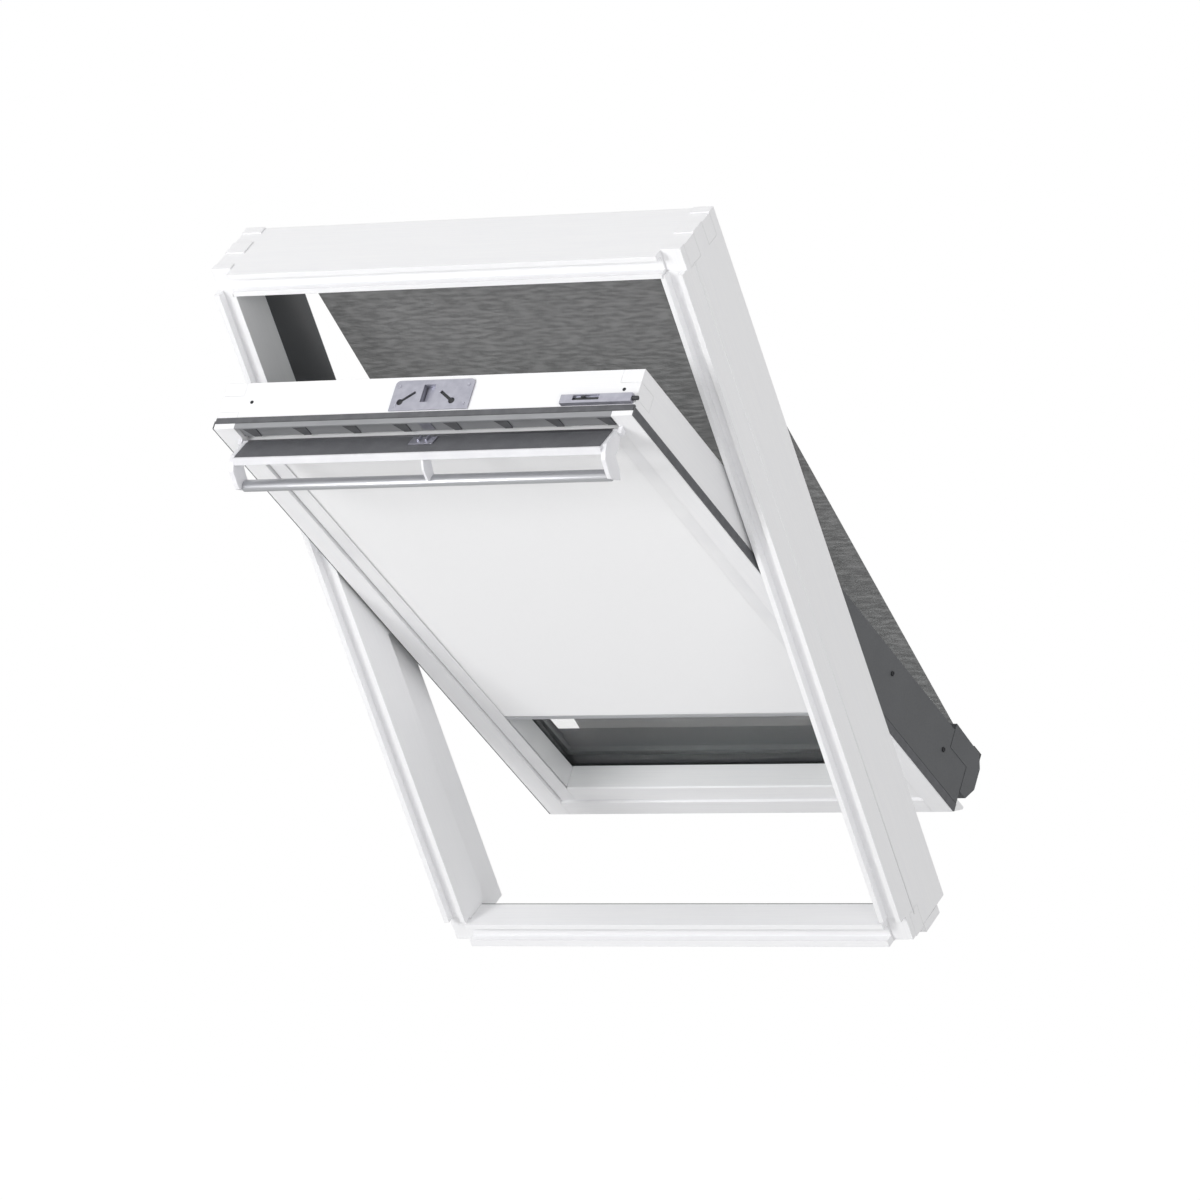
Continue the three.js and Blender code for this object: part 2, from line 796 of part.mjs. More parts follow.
// The sash's bottom rail: the proud band, a groove, the inner block and the drip along its foot.
function sashBottomRail() {
  const inner = betweenSides - seat;
  const band = [
    [0, sashBottom],
    [0, bandTop],
    [bandGrooveDepth, bandTop],
    [bandGrooveDepth, blockFoot],
    [glassFront - seat, blockFoot],
    [glassFront - seat, glassBottom - seat],
    [sashThickness, glassBottom - seat],
    [sashThickness, sashBottom],
  ];
  const upper = [
    [innerStepBack, blockFoot - overrun],
    [innerStepBack, blockTop - overrun],
    [innerStepBack + overrun, blockTop],
    [glassFront - seat, blockTop],
    [glassFront - seat, blockFoot - overrun],
  ];
  const innerBlock = across(upper, -channelInner + seat, channelInner - seat);
  const fingers = sides.map(({ sign }) =>
    block([sign * (inner - overrun), sign * sashHalf], [ventDepth, fingerEnd], [sashBottom, blockFoot]),
  );
  const drip = [
    [dripTip / 4, sashBottom - seat],
    [dripWidth - dripTip, sashBottom - dripHeight],
    [dripWidth, sashBottom - dripHeight],
    [dripWidth, sashBottom - seat],
  ];
  const neck = block([-inner, inner], [dripTip, dripWidth], [sashBottom - overrun, sashBottom + overrun]);
  return join(across(band, -inner, inner), innerBlock, ...fingers, across(drip, -sashHalf, sashHalf), neck);
}

// Two panes with a spacer bar round the cavity, bedded under an outer bead.
const glassHalf = betweenSides - seat * 3;
const glassHeights = [glassBottom, glassTop];

function pane(front) {
  return block([-glassHalf, glassHalf], [front, front + paneThickness], glassHeights);
}

function ring(half, heights, depths, width) {
  const outer = block([-half, half], depths, heights);
  const inside = [-half + width, half - width];
  const inner = block(inside, [depths[0] - overrun, depths[1] + overrun], [heights[0] + width, heights[1] - width]);
  return cut(outer, inner);
}

const outerPaneFront = glassFront + unitThickness - paneThickness;
const glassBack = glassFront + unitThickness;

function glassSpacer() {
  const depths = [glassFront + paneThickness + seat, outerPaneFront - seat];
  return ring(glassHalf - seat, glassHeights, depths, spacerWidth);
}

function glazingBead() {
  return ring(glassHalf, glassHeights, [glassBack + seat, glassBack + seat + beadThickness], beadWidth);
}

function sideGasket(sign) {
  const from = sashHalf + seat;
  return block([sign * from, sign * (from + gasketThickness)], [gasketStart, gasketStart + gasketDepth], [sashBottom, sashTop]);
}

function headGasket() {
  const from = headGasketStart + seat;
  const half = sashHalf - seat;
  return block(
    [-half, half],
    [from, from + headGasketDepth - seat * 2],
    [sashTop - headGasketSeat + seat, sashTop + headGasketProud],
  );
}

// Cladding of the sash's lower half: a folded channel outside the wood and a shaped end plate.
const sashCladdingTop = pivotHeight - sashCladdingGap;
const endPlate = [
  [capHeelOut, sashBottom - seat],
  [capHeelOut, sashBottom - capHeel],
  [capNoseIn, sashBottom - capNose],
  [capNoseOut, sashBottom - capNose],
  [capNoseDepth, sashBottom - capShoulder],
  [capFaceDepth, sashBottom - capShoulder + capTopRun],
  [sashThickness + seat, sashBottom - capShoulder + capTopRun],
  [sashThickness + seat, sashBottom - seat],
];

function sashCladding(sign) {
  const outer = sashHalf + seat + sheetMetal;
  const top = sashThickness + sashCladdingRise;
  const path = [
    [outer, sashCladdingStart],
    [outer, top],
    [outer - sashCladdingWidth, top],
    [outer - sashCladdingWidth, sashThickness + seat],
  ];
  const outline = folded(path, sheetMetal).map(([x, y]) => [sign * x, y]);
  const foot = sashBottom - capShoulder + capTopRun;
  const channel = upwards(outline, foot + seat, sashCladdingTop);
  const from = sashHalf + seat;
  const apron = block(
    [sign * from, sign * outer],
    [sashCladdingStart, sashThickness + seat * 2],
    [sashBottom, foot + overrun],
  );
  return join(channel, across(endPlate, sign * from, sign * (from + endPlateThickness)), apron);
}

function bottomCladding() {
  return across(folded(endPlate.slice(0, -1), sheetMetal), -sashHalf, sashHalf);
}

// The vent's grille: a strip level with the band, a wall with slots, and a floor.
function ventGrille() {
  const half = betweenSides - seat;
  const foot = sashTop - grilleHeight;
  const shelf = sashTop - headGasketSeat;
  const outline = [
    [0, sashTop],
    [0, sashTop - grilleSheet],
    [grilleStrip - grilleWall, sashTop - grilleSheet],
    [grilleStrip - grilleWall, foot],
    [ventDepth - seat, foot],
    [ventDepth - seat, foot + grilleWall],
    [grilleStrip, foot + grilleWall],
    [grilleStrip, shelf - grilleSheet],
    [headGasketStart + headGasketDepth, shelf - grilleSheet],
    [headGasketStart + headGasketDepth, shelf],
    [grilleStrip, shelf],
    [grilleStrip, sashTop],
  ];
  const top = sashTop - grilleSheet - ventSlotMargin / 3;
  const low = foot + ventSlotMargin;
  const slots = [];
  for (let i = 0; i < ribPairs * 2; i += 1) {
    const middle = (i - ribPairs + 1 / 2) * ribPitch;
    const right = middle + ventSlotTop / 2;
    const points = [
      [right - ventSlotTop, top],
      [right, top],
      [right, low],
      [right - ventSlotFoot, low],
    ];
    slots.push(facing(points, grilleStrip - grilleWall * 2, grilleStrip + grilleWall));
  }
  return cut(across(outline, -half, half), ...slots);
}

// An outline of [x, z] points carried outwards, from one y to another.
function facing(points, from, to) {
  const geometry = extruded(points, to - from);
  geometry.rotateX(Math.PI / 2);
  geometry.translate(0, to, 0);
  return solid(geometry);
}

function ventFilter() {
  const half = betweenSides - seat - filterGap;
  const from = grilleStrip + seat;
  const foot = sashTop - grilleHeight + grilleWall + seat;
  return block([-half, half], [from, ventDepth - seat * 2], [foot, sashTop - headLipHeight - seat]);
}

// Lock plate on the sash head, rounded on the far side, with the latch's slot.
const latchAxis = sashTop - latchDrop;

function lockPlate() {
  const left = lockPlateOffset - lockPlateWidth / 2;
  const right = left + lockPlateWidth;
  const far = lockPlateStart + lockPlateDepth;
  const shape = new THREE.Shape();
  shape.moveTo(left, lockPlateStart);
  shape.lineTo(right, lockPlateStart);
  shape.lineTo(right, far - lockPlateCorner);
  shape.quadraticCurveTo(right, far, right - lockPlateCorner, far);
  shape.lineTo(left + lockPlateCorner, far);
  shape.quadraticCurveTo(left, far, left, far - lockPlateCorner);
  const geometry = new THREE.ExtrudeGeometry(shape, { depth: lockPlateThickness, bevelEnabled: false, curveSegments: 6 });
  geometry.translate(0, 0, sashTop + seat);
  const half = latchSlot / 2;
  const heights = [sashTop - overrun, sashTop + lockPlateThickness + overrun];
  const slot = block([-half, half], [latchOut - latchThickness, latchOut + latchLength + seat], heights);
  const keyWays = sides.flatMap(({ sign }) => keyWay(sign, heights));
  return cut(solid(geometry), slot, ...keyWays);
}

// A slanted slot through the lock plate with a round hole at its outer end.
function keyWay(sign, heights) {
  const inner = new THREE.Vector2(sign * keySlotInner, keySlotFar);
  const outer = new THREE.Vector2(sign * keySlotOuter, keySlotNear);
  const along = outer.clone().sub(inner).normalize();
  const side = new THREE.Vector2(-along.y, along.x).multiplyScalar((sign * keySlotWidth) / 2);
  const corners = [
    inner.clone().add(side),
    inner.clone().sub(side),
    outer.clone().sub(side),
    outer.clone().add(side),
  ];
  const outline = corners.map(({ x, y }) => [x, y]);
  if (THREE.ShapeUtils.area(corners) < 0) {
    outline.reverse();
  }
  const round = new THREE.CylinderGeometry(keyHoleRadius, keyHoleRadius, heights[1] - heights[0], keyHoleSegments);
  round.rotateX(Math.PI / 2);
  round.translate(outer.x, outer.y, (heights[0] + heights[1]) / 2);
  return [upwards(outline, ...heights), solid(round)];
}

// The latch lies back in its pocket and swings up behind the strike as the flap shuts.
function latch() {
  const half = latchWidth / 2;
  const round = latchThickness / 2;
  const arm = block([-half, half], [latchOut, latchOut + latchLength], [latchAxis - round, latchAxis + round]);
  const hub = barX(round, -half, half, latchOut, latchAxis, 24);
  const pin = half + latchPinLength;
  return join(arm, hub, barX(latchPinRadius, -pin, pin, latchOut, latchAxis, 24));
}

// Barrel bolt: a housing with a window, and a rod with a knob.
const boltAxis = sashTop + boltAxisHeight;

function boltHousing() {
  const depths = [boltOut - boltHousingDepth / 2, boltOut + boltHousingDepth / 2];
  const top = sashTop + seat + boltHousingHeight;
  const body = block([boltLeft, boltHousingEnd], depths, [sashTop + seat, top]);
  const bore = barX(boltRadius + runningGap, boltLeft + overrun, boltHousingEnd + overrun, boltOut, boltAxis, 24);
  const window = block(
    [boltWindowStart, boltWindowEnd],
    [boltOut - boltWindowDepth / 2, boltOut + boltWindowDepth],
    [boltAxis, top + overrun],
  );
  return cut(body, bore, window);
}

function slidingBolt() {
  const rod = barX(boltRadius, sashHalf - boltTailInset, boltTip, boltOut, boltAxis, 24);
  const knob = block(
    [boltKnobStart, boltKnobStart + boltKnobWidth],
    [boltOut, boltOut + boltWindowDepth / 2],
    [boltAxis, sashTop + boltKnobRise],
  );
  return join(rod, knob);
}

// Side channel of the inner blind, with the slot that the cloth's edge runs in.
function blindChannel(sign) {
  const outer = betweenSides - seat;
  const slotBottom = clothSlotStart + clothSlotWidth;
  const grooveEnd = innerStepBack + bandGrooveDepth;
  const outline = [
    [channelInner, innerStepBack],
    [outer - bandGroove, innerStepBack],
    [outer - bandGroove, grooveEnd],
    [outer, grooveEnd],
    [outer, ventDepth - seat],
    [betweenSides - glazingLipWidth - seat, ventDepth - seat],
    [betweenSides - glazingLipWidth - seat, channelBack],
    [channelInner, channelBack],
    [channelInner, slotBottom],
    [channelInner + clothSlotDepth, slotBottom],
    [channelInner + clothSlotDepth, clothSlotStart],
    [channelInner, clothSlotStart],
  ].map(([x, y]) => [sign * x, y]);
  return upwards(outline, blockFoot + seat, channelTop);
}

// Casing of the inner blind: a folded box, slotted at its foot, with an end plate on each side.
const blindRollerOut = clothFace + clothThickness / 2 + blindRollerRadius;
const blindRollerAlong = casingFoot + blindRollerHeight;

function blindCasing() {
  const half = betweenSides - seat;
  const top = casingFoot + casingHeight - seat;
  const back = casingFront + casingDepth;
  const path = [
    [casingSlotEnd, casingFoot],
    [back, casingFoot],
    [back, top],
    [casingFront, top],
    [casingFront, casingFoot],
  ];
  const body = across(folded(path, casingSheet), -half, half);
  const ends = sides.map(({ sign }) => {
    const plate = block([sign * (half - casingEnd), sign * half], [casingFront, back], [casingFoot, top]);
    const bore = barX(
      blindPinRadius + pinClearance,
      sign * (half - casingEnd - overrun),
      sign * (half + overrun),
      blindRollerOut,
      blindRollerAlong,
    );
    const gap = block(
      [sign * (half - casingEnd - overrun), sign * (half + overrun)],
      [casingFront + casingSheet, casingSlotEnd],
      [casingFoot - overrun, casingFoot + casingSheet],
    );
    return cut(plate, bore, gap);
  });
  return join(body, ...ends);
}

function blindRoller() {
  const half = betweenSides - seat;
  const end = half - casingEnd - runningGap * 2;
  const pin = half - seat;
  const roll = barX(blindRollerRadius - seat, -end, end, blindRollerOut, blindRollerAlong, 40);
  return join(roll, barX(blindPinRadius, -pin, pin, blindRollerOut, blindRollerAlong));
}

function blindCloth() {
  const half = channelInner + clothSlotDepth - clothEdgePlay;
  return block([-half, half], [clothFace, clothFace + clothThickness], [clothBottom, blindRollerAlong]);
}

function blindBar() {
  const half = channelInner - seat;
  const top = clothBottom - seat;
  return block([-half, half], [blindBarFront, blindBarFront + blindBarDepth], [top - blindBarHeight, top]);
}

// Flap pieces, drawn shut: z along the flap from its hinge line, y outwards. The plate has a rim on
// its free edge that reaches down towards the room and stands round the liner on its inner face.
const flapPlateEnd = flapHalfLength - flapCapThickness - seat;
const linerFace = flapPlateBack + seat + linerThickness;

function flapPlate() {
  const front = flapPlateBack - flapPlateThickness;
  const edge = flapReach - flapEdgeDepth;
  const outline = [
    [front, 0],
    [front, edge],
    [linerFace - flapEdgeHeight, edge + flapPlateThickness],
    [linerFace - flapEdgeHeight, flapReach],
    [linerFace, flapReach],
    [linerFace, flapReach - flapPlateThickness],
    [flapPlateBack, flapReach - flapPlateThickness],
    [flapPlateBack, 0],
  ];
  const tube = barX(flapHubRadius, -flapPlateEnd, flapPlateEnd, 0, 0, 24);
  const bore = barX(flapRodRadius + pinClearance, -flapPlateEnd - overrun, flapPlateEnd + overrun, 0, 0, 24);
  return cut(join(across(outline, -flapPlateEnd, flapPlateEnd), tube), bore);
}

function flapLiner() {
  const half = flapPlateEnd - linerMargin;
  const depths = [flapPlateBack + seat, linerFace];
  return block([-half, half], depths, [flapHubRadius + seat, flapReach - flapPlateThickness - seat]);
}

// Catch on the flap's liner: a plate with two ears.
function flapCatch() {
  const base = linerFace + seat;
  const plate = block([-catchHalf, catchHalf], [base, base + catchThickness], [catchStart, catchStart + catchLength]);
  const ears = sides.map(({ sign }) => {
    const width = [sign * earInner, sign * (earInner + earThickness)];
    const depths = [base, base + catchThickness + earHeight];
    return block(width, depths, [catchStart, catchStart + earLength]);
  });
  return join(plate, ...ears);
}

function flapOutline(shares) {
  return shares.map(([out, along]) => [out * flapReach, along * flapReach]);
}

function flapCap(sign) {
  const inner = sign * (flapHalfLength - flapCapThickness);
  const outer = sign * flapHalfLength;
  const body = join(across(flapOutline(capShares), inner, outer), barX(flapHubRadius, inner, outer, 0, 0, 24));
  const reach = sign * (flapHalfLength + overrun);
  return cut(body, barX(flapRodRadius + pinClearance, inner - sign * overrun, reach, 0, 0, 24));
}

// An oval bar across the flap, between the end caps.
function gripOutline(growth) {
  return Array.from({ length: gripSegments }, (_, i) => {
    const angle = (i / gripSegments) * Math.PI * 2;
    const out = (gripShortRadius + growth) * Math.sin(angle);
    return [-gripFall + out, gripReach + (gripLongRadius + growth) * Math.cos(angle)];
  });
}

function gripBar() {
  return across(gripOutline(0), -flapPlateEnd, flapPlateEnd);
}

// The middle support hangs under the plate, passes the rim and holds the grip bar.
function flapSupport() {
  const from = supportMiddle - supportThickness / 2;
  const to = from + supportThickness;
  return cut(across(flapOutline(supportShares), from, to), across(gripOutline(seat), from - overrun, to + overrun));
}

function flapBracket(sign) {
  const from = flapHalfLength + seat;
  const body = block(
    [sign * from, sign * (from + flapBracketWidth)],
    [-seat, -seat - flapBracketDepth],
    [flapAxisHeight - flapBracketHeight / 2, flapAxisHeight + flapBracketHeight / 2],
  );
  const end = sign * (from + flapBracketWidth - overrun / 2);
  return cut(body, barX(flapRodRadius + pinClearance, sign * (from - overrun), end, -flapAxisFront, flapAxisHeight, 24));
}

function flapRod() {
  const end = flapHalfLength + flapBracketWidth - overrun / 2;
  return barX(flapRodRadius, -end, end, -flapAxisFront, flapAxisHeight, 24);
}

// Awning pieces, drawn along the mesh: z up the mesh from the bar, y outwards.
function awningBar() {
  const half = awningBarDepth / 2;
  return block([-awningHalfWidth, awningHalfWidth], [-half, half], [-awningBarHeight, 0]);
}

// A small clip on the room side of the awning's bar: a cross piece over two legs.
function awningClip() {
  const back = -awningBarDepth / 2 - seat;
  const depths = [back - clipThickness, back];
  const half = clipWidth / 2;
  const cross = block([clipPlace - half, clipPlace + half], depths, [0, clipRise]);
  const legs = sides.map(({ sign }) => {
    const outer = clipPlace + sign * half;
    return block([outer - sign * clipLeg, outer], depths, [-clipGrip, clipRise / 2]);
  });
  return join(cross, ...legs);
}

// The mesh runs straight from its bar to the cassette's lip and turns up to the roller there.
function awningMesh() {
  const straight = (exitHeight - awningBarPlace.z) / Math.cos(awningTurn);
  const toRoller = new THREE.Vector2(awningRollerBack, awningRollerRise);
  const clear = awningRollerRadius + seat + meshThickness / 2;
  const tangent = Math.sqrt(toRoller.lengthSq() - clear * clear);
  const rise = toRoller.angle() - Math.asin(clear / toRoller.length()) + awningTurn;
  const path = [
    [-meshThickness / 2, seat],
    [-meshThickness / 2, straight],
    [-meshThickness / 2 + tangent * Math.sin(rise), straight + tangent * Math.cos(rise)],
  ];
  return across(folded(path, -meshThickness), -awningHalfWidth, awningHalfWidth);
}

// A hook at each end of the awning's bar, resting on the end of the sash cladding.
function awningHook(sign) {
  const from = awningHalfWidth + seat;
  const foot = sashBottom - capNose - seat;
  const outline = [
    [capNoseOut, foot],
    [capNoseDepth + seat, sashBottom - capShoulder - seat],
    [capNoseOut + hookDepth, sashBottom - capShoulder - seat],
    [capNoseOut + hookDepth, foot - hookStep],
    [capNoseOut, foot - hookStep],
  ];
  return across(outline, sign * from, sign * (from + hookWidth));
}

// Groups: the frame leans with the roof, the sash turns in it, and the flap turns on the sash.
const frame = new THREE.Group();
frame.rotation.x = THREE.MathUtils.degToRad(90 - roofPitch);
const sash = new THREE.Group();
sash.position.y = sashFace;
sash.rotation.x = sashTurn;
const flap = new THREE.Group();
flap.position.set(0, -flapAxisFront, flapAxisHeight);
flap.rotation.x = flapTurn;
const awning = new THREE.Group();
awning.position.set(0, awningBarPlace.y, awningBarPlace.z);
awning.rotation.x = awningTurn;
frame.add(sash, awning);
sash.add(flap);

frame.add(
  mesh("frame_head", frameHead(), "paintedWood"),
  mesh("frame_sill", frameSill(), "paintedWood"),
  mesh("sill_gasket", sillGasket(), "blackRubber"),
  mesh("awning_cassette", awningCassette(), "greyCladding"),
  mesh("awning_roller", awningRoller(), "mesh"),
  mesh("head_cover", headCover(), "greyCladding"),
  mesh("lock_strike", lockStrike(), "steel"),
);
sash.add(
  mesh("sash_head", sashHead(), "paintedWood"),
  mesh("sash_bottom", sashBottomRail(), "paintedWood"),
  mesh("inner_pane", pane(glassFront), "glass"),
  mesh("outer_pane", pane(outerPaneFront), "glass"),
  mesh("glass_spacer", glassSpacer(), "darkPlastic"),
  mesh("glazing_bead", glazingBead(), "blackRubber"),
  mesh("sash_gasket_head", headGasket(), "blackRubber"),
  mesh("sash_cladding_bottom", bottomCladding(), "greyCladding"),
  mesh("vent_grille", ventGrille(), "greyPlastic"),
  mesh("vent_filter", ventFilter(), "foam"),
  mesh("lock_plate", lockPlate(), "steel"),
  mesh("latch", latch(), "steel"),
  mesh("bolt_housing", boltHousing(), "steel"),
  mesh("sliding_bolt", slidingBolt(), "darkPlastic"),
  mesh("blind_casing", blindCasing(), "whitePlastic"),
  mesh("blind_roller", blindRoller(), "anodised"),
  mesh("blind_cloth", blindCloth(), "cloth"),
  mesh("blind_bottom_bar", blindBar(), "anodised"),
  mesh("flap_hinge_rod", flapRod(), "steel"),
);
flap.add(
  mesh("vent_flap", flapPlate(), "whitePlastic"),
  mesh("flap_liner", flapLiner(), "darkPlastic"),
  mesh("flap_catch", flapCatch(), "steel"),
  mesh("grip_bar", gripBar(), "anodised"),
  mesh("flap_support_middle", flapSupport(), "whitePlastic"),
);
awning.add(
  mesh("awning_bar", awningBar(), "darkPlastic"),
  mesh("awning_mesh", awningMesh(), "mesh"),
  mesh("awning_clip", awningClip(), "whitePlastic"),
);
sides.forEach(({ word, sign }) => {
  frame.add(
    mesh(`frame_jamb_${word}`, frameJamb(sign), "paintedWood"),
    mesh(`frame_cladding_${word}`, frameCladding(sign), "greyCladding"),
    mesh(`pivot_track_${word}`, pivotTrack(sign), "steel"),
    mesh(`cassette_cap_${word}`, cassetteEnd(sign), "darkPlastic"),
  );
  sash.add(
    mesh(`sash_side_${word}`, sashSide(sign), "paintedWood"),
    mesh(`sash_gasket_${word}`, sideGasket(sign), "blackRubber"),
    mesh(`sash_cladding_${word}`, sashCladding(sign), "greyCladding"),
    mesh(`pivot_shoe_${word}`, pivotShoe(sign), "steel"),
    mesh(`blind_channel_${word}`, blindChannel(sign), "whitePlastic"),
    mesh(`awning_hook_${word}`, awningHook(sign), "darkPlastic"),
    mesh(`flap_bracket_${word}`, flapBracket(sign), "greyPlastic"),
  );
  flap.add(mesh(`flap_cap_${word}`, flapCap(sign), "greyPlastic"));
});

const roofWindow = new THREE.Group();
roofWindow.add(frame);

export default roofWindow;
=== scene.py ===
import math

import bmesh
import bpy
from mathutils import Matrix, Vector


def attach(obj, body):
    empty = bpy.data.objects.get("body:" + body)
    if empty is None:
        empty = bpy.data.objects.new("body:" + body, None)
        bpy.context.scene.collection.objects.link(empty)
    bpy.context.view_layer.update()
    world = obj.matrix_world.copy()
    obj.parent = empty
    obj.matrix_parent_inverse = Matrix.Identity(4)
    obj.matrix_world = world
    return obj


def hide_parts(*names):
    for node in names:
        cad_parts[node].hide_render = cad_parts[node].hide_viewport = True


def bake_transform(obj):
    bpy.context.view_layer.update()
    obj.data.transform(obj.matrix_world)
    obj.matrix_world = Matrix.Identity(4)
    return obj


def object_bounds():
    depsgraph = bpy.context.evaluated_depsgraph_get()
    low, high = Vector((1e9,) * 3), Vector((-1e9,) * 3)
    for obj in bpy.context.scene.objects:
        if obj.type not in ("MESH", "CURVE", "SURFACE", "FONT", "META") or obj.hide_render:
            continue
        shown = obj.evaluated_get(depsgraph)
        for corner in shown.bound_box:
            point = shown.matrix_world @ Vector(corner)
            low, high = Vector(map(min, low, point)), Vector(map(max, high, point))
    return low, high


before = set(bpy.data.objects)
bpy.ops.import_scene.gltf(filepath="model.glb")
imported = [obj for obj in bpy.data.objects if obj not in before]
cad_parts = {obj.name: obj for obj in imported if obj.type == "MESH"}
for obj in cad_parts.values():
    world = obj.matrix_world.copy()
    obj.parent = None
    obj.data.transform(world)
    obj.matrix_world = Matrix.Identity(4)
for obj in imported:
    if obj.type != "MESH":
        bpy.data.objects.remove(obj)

cad_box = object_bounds()

# Camera. It looks at the window from the room, a little from the right and from just below
# the middle, with a long lens.
CAMERA_YAW = math.radians(30.575)
CAMERA_ELEVATION = math.radians(-2.016)
CAMERA_DISTANCE = 12.84386
CAMERA_RIGHT = 0.05782
CAMERA_UP = 0.01859
LENS = 265.98
SENSOR_WIDTH = 36

away = Vector((
    math.sin(CAMERA_YAW) * math.cos(CAMERA_ELEVATION),
    -math.cos(CAMERA_YAW) * math.cos(CAMERA_ELEVATION),
    math.sin(CAMERA_ELEVATION),
))
to_right = (-away).cross(Vector((0, 0, 1))).normalized()
upwards = to_right.cross(-away)
camera_data = bpy.data.cameras.new("camera")
camera_data.lens = LENS
camera_data.sensor_width = SENSOR_WIDTH
camera_data.clip_end = 100
camera = bpy.data.objects.new("camera", camera_data)
camera.matrix_world = Matrix.Translation(
    away * CAMERA_DISTANCE + to_right * CAMERA_RIGHT + upwards * CAMERA_UP
) @ Matrix((to_right, upwards, away)).transposed().to_4x4()
bpy.context.collection.objects.link(camera)
bpy.context.scene.camera = camera
bpy.context.scene.view_settings.view_transform = "Standard"


# Room. A white room with a pale floor well under the window, one wide soft lamp beside the camera
# to its left, a weaker one to its right and a faint one above.
def linear(colour):
    """An sRGB hex colour as linear RGBA."""
    channels = [int(colour[i:i + 2], 16) / 255 for i in (1, 3, 5)]
    return [c / 12.92 if c <= 0.04045 else ((c + 0.055) / 1.055) ** 2.4 for c in channels] + [1]


def add_node(tree, kind, values=(), links=(), **settings):
    """Adds one node: its inputs' values, the outputs that feed its inputs, and its settings."""
    node = tree.nodes.new(kind)
    for name, value in settings.items():
        setattr(node, name, value)
    for name, value in dict(values).items():
        node.inputs[name].default_value = value
    for name, output in dict(links).items():
        tree.links.new(node.inputs[name], output)
    return node


def either(tree, first, second):
    """One where either of two outputs is one."""
    return add_node(
        tree, "ShaderNodeMath", links={0: first, 1: second}, operation="MAXIMUM",
    ).outputs[0]


def mixed(tree, share, first, second):
    """The first shader, giving way to the second as the share rises."""
    return add_node(
        tree, "ShaderNodeMixShader", links={0: share, 1: first.outputs[0], 2: second.outputs[0]},
    ).outputs[0]


FLOOR_DROP = 0.45
FLOOR_SIZE = 60
FLOOR_COLOUR = "#f2f2f2"
FLOOR_GLOW = 1.2
SHADOW_SHARE = 0.3
ROOM_LEVEL = 0.6

world = bpy.data.worlds.new("white_room")
world.use_nodes = True
bpy.context.scene.world = world
room = world.node_tree
room.nodes.clear()
rays = add_node(room, "ShaderNodeLightPath")
mirrored = either(room, rays.outputs["Is Glossy Ray"], rays.outputs["Is Transmission Ray"])
seen = either(room, rays.outputs["Is Camera Ray"], mirrored)
lit = add_node(room, "ShaderNodeBackground", {"Color": linear("#ffffff"), "Strength": ROOM_LEVEL})
shown = add_node(room, "ShaderNodeBackground", {"Color": linear("#ffffff"), "Strength": 1.0})
both = mixed(room, seen, lit, shown)
add_node(room, "ShaderNodeOutputWorld", links={"Surface": both})

pale_floor = bpy.data.materials.new("pale_floor")
pale_floor.use_nodes = True
tree = pale_floor.node_tree
tree.nodes.clear()
rays = add_node(tree, "ShaderNodeLightPath")
matt = add_node(tree, "ShaderNodeBsdfDiffuse", {"Color": linear(FLOOR_COLOUR)})
glow = add_node(tree, "ShaderNodeEmission", {"Strength": FLOOR_GLOW})
share = add_node(
    tree, "ShaderNodeMath", {1: 1 - SHADOW_SHARE}, {0: rays.outputs["Is Camera Ray"]},
    operation="MULTIPLY",
).outputs[0]
both = mixed(tree, share, matt, glow)
add_node(tree, "ShaderNodeOutputMaterial", links={"Surface": both})


def finished(bm, name, material):
    """Turns a bmesh into an object with its place in its mesh."""
    mesh = bpy.data.meshes.new(name)
    bm.to_mesh(mesh)
    bm.free()
    piece = bpy.data.objects.new(name, mesh)
    mesh.materials.append(material)
    bpy.context.collection.objects.link(piece)
    return piece


bm = bmesh.new()
bmesh.ops.create_grid(bm, x_segments=1, y_segments=1, size=FLOOR_SIZE / 2)
bmesh.ops.translate(bm, verts=bm.verts, vec=(0, 0, cad_box[0][2] - FLOOR_DROP))
finished(bm, "floor", pale_floor)


def add_lamp(name, place, size, power):
    """Adds a soft square lamp facing the window: place and size in metres, power in watts."""
    data = bpy.data.lights.new(name, "AREA")
    data.size = size
    data.energy = power
    lamp = bpy.data.objects.new(name, data)
    lamp.location = place
    lamp.rotation_euler = (-Vector(place)).to_track_quat("-Z", "Y").to_euler()
    bpy.context.collection.objects.link(lamp)


add_lamp("key_lamp", (-3.2, -6.0, 0.2), 2.2, 200)
add_lamp("fill_lamp", (4.6, -4.4, 0.5), 2.6, 62)
add_lamp("top_lamp", (-0.8, -1.6, 4.5), 2.5, 12)

# Wooden frame and sash. Jambs, rails and sill are planed pine, glued at comb joints, sanded and
# sprayed with white lacquer. The lacquer softens every edge, lies in a fine orange peel and lets
# the grain through as faint streaks along each piece.
MM = 0.001
ROOF_TILT = math.radians(35.08)
SASH_OPENING = math.radians(24.94)
SASH_TILT = ROOF_TILT + SASH_OPENING
GRAIN_WIDTH = 1.6 * MM
GRAIN_LENGTH = 90 * MM
PEEL = 2.2 * MM
LACQUER = "#f6f6f7"
LACQUER_OVER_GRAIN = "#f3f3f5"
LACQUER_RELIEF = 0.012 * MM
EDGE_RADIUS = 0.9 * MM


def new_material(name, roughness, metallic=0.0):
    """A material with one shader, whose colour, gloss and relief the calls after it set."""
    material = bpy.data.materials.new(name)
    material.use_nodes = True
    tree = material.node_tree
    tree.nodes.clear()
    shader = add_node(
        tree, "ShaderNodeBsdfPrincipled", {"Roughness": roughness, "Metallic": metallic},
    )
    add_node(tree, "ShaderNodeOutputMaterial", links={"Surface": shader.outputs[0]})
    return material, tree, shader


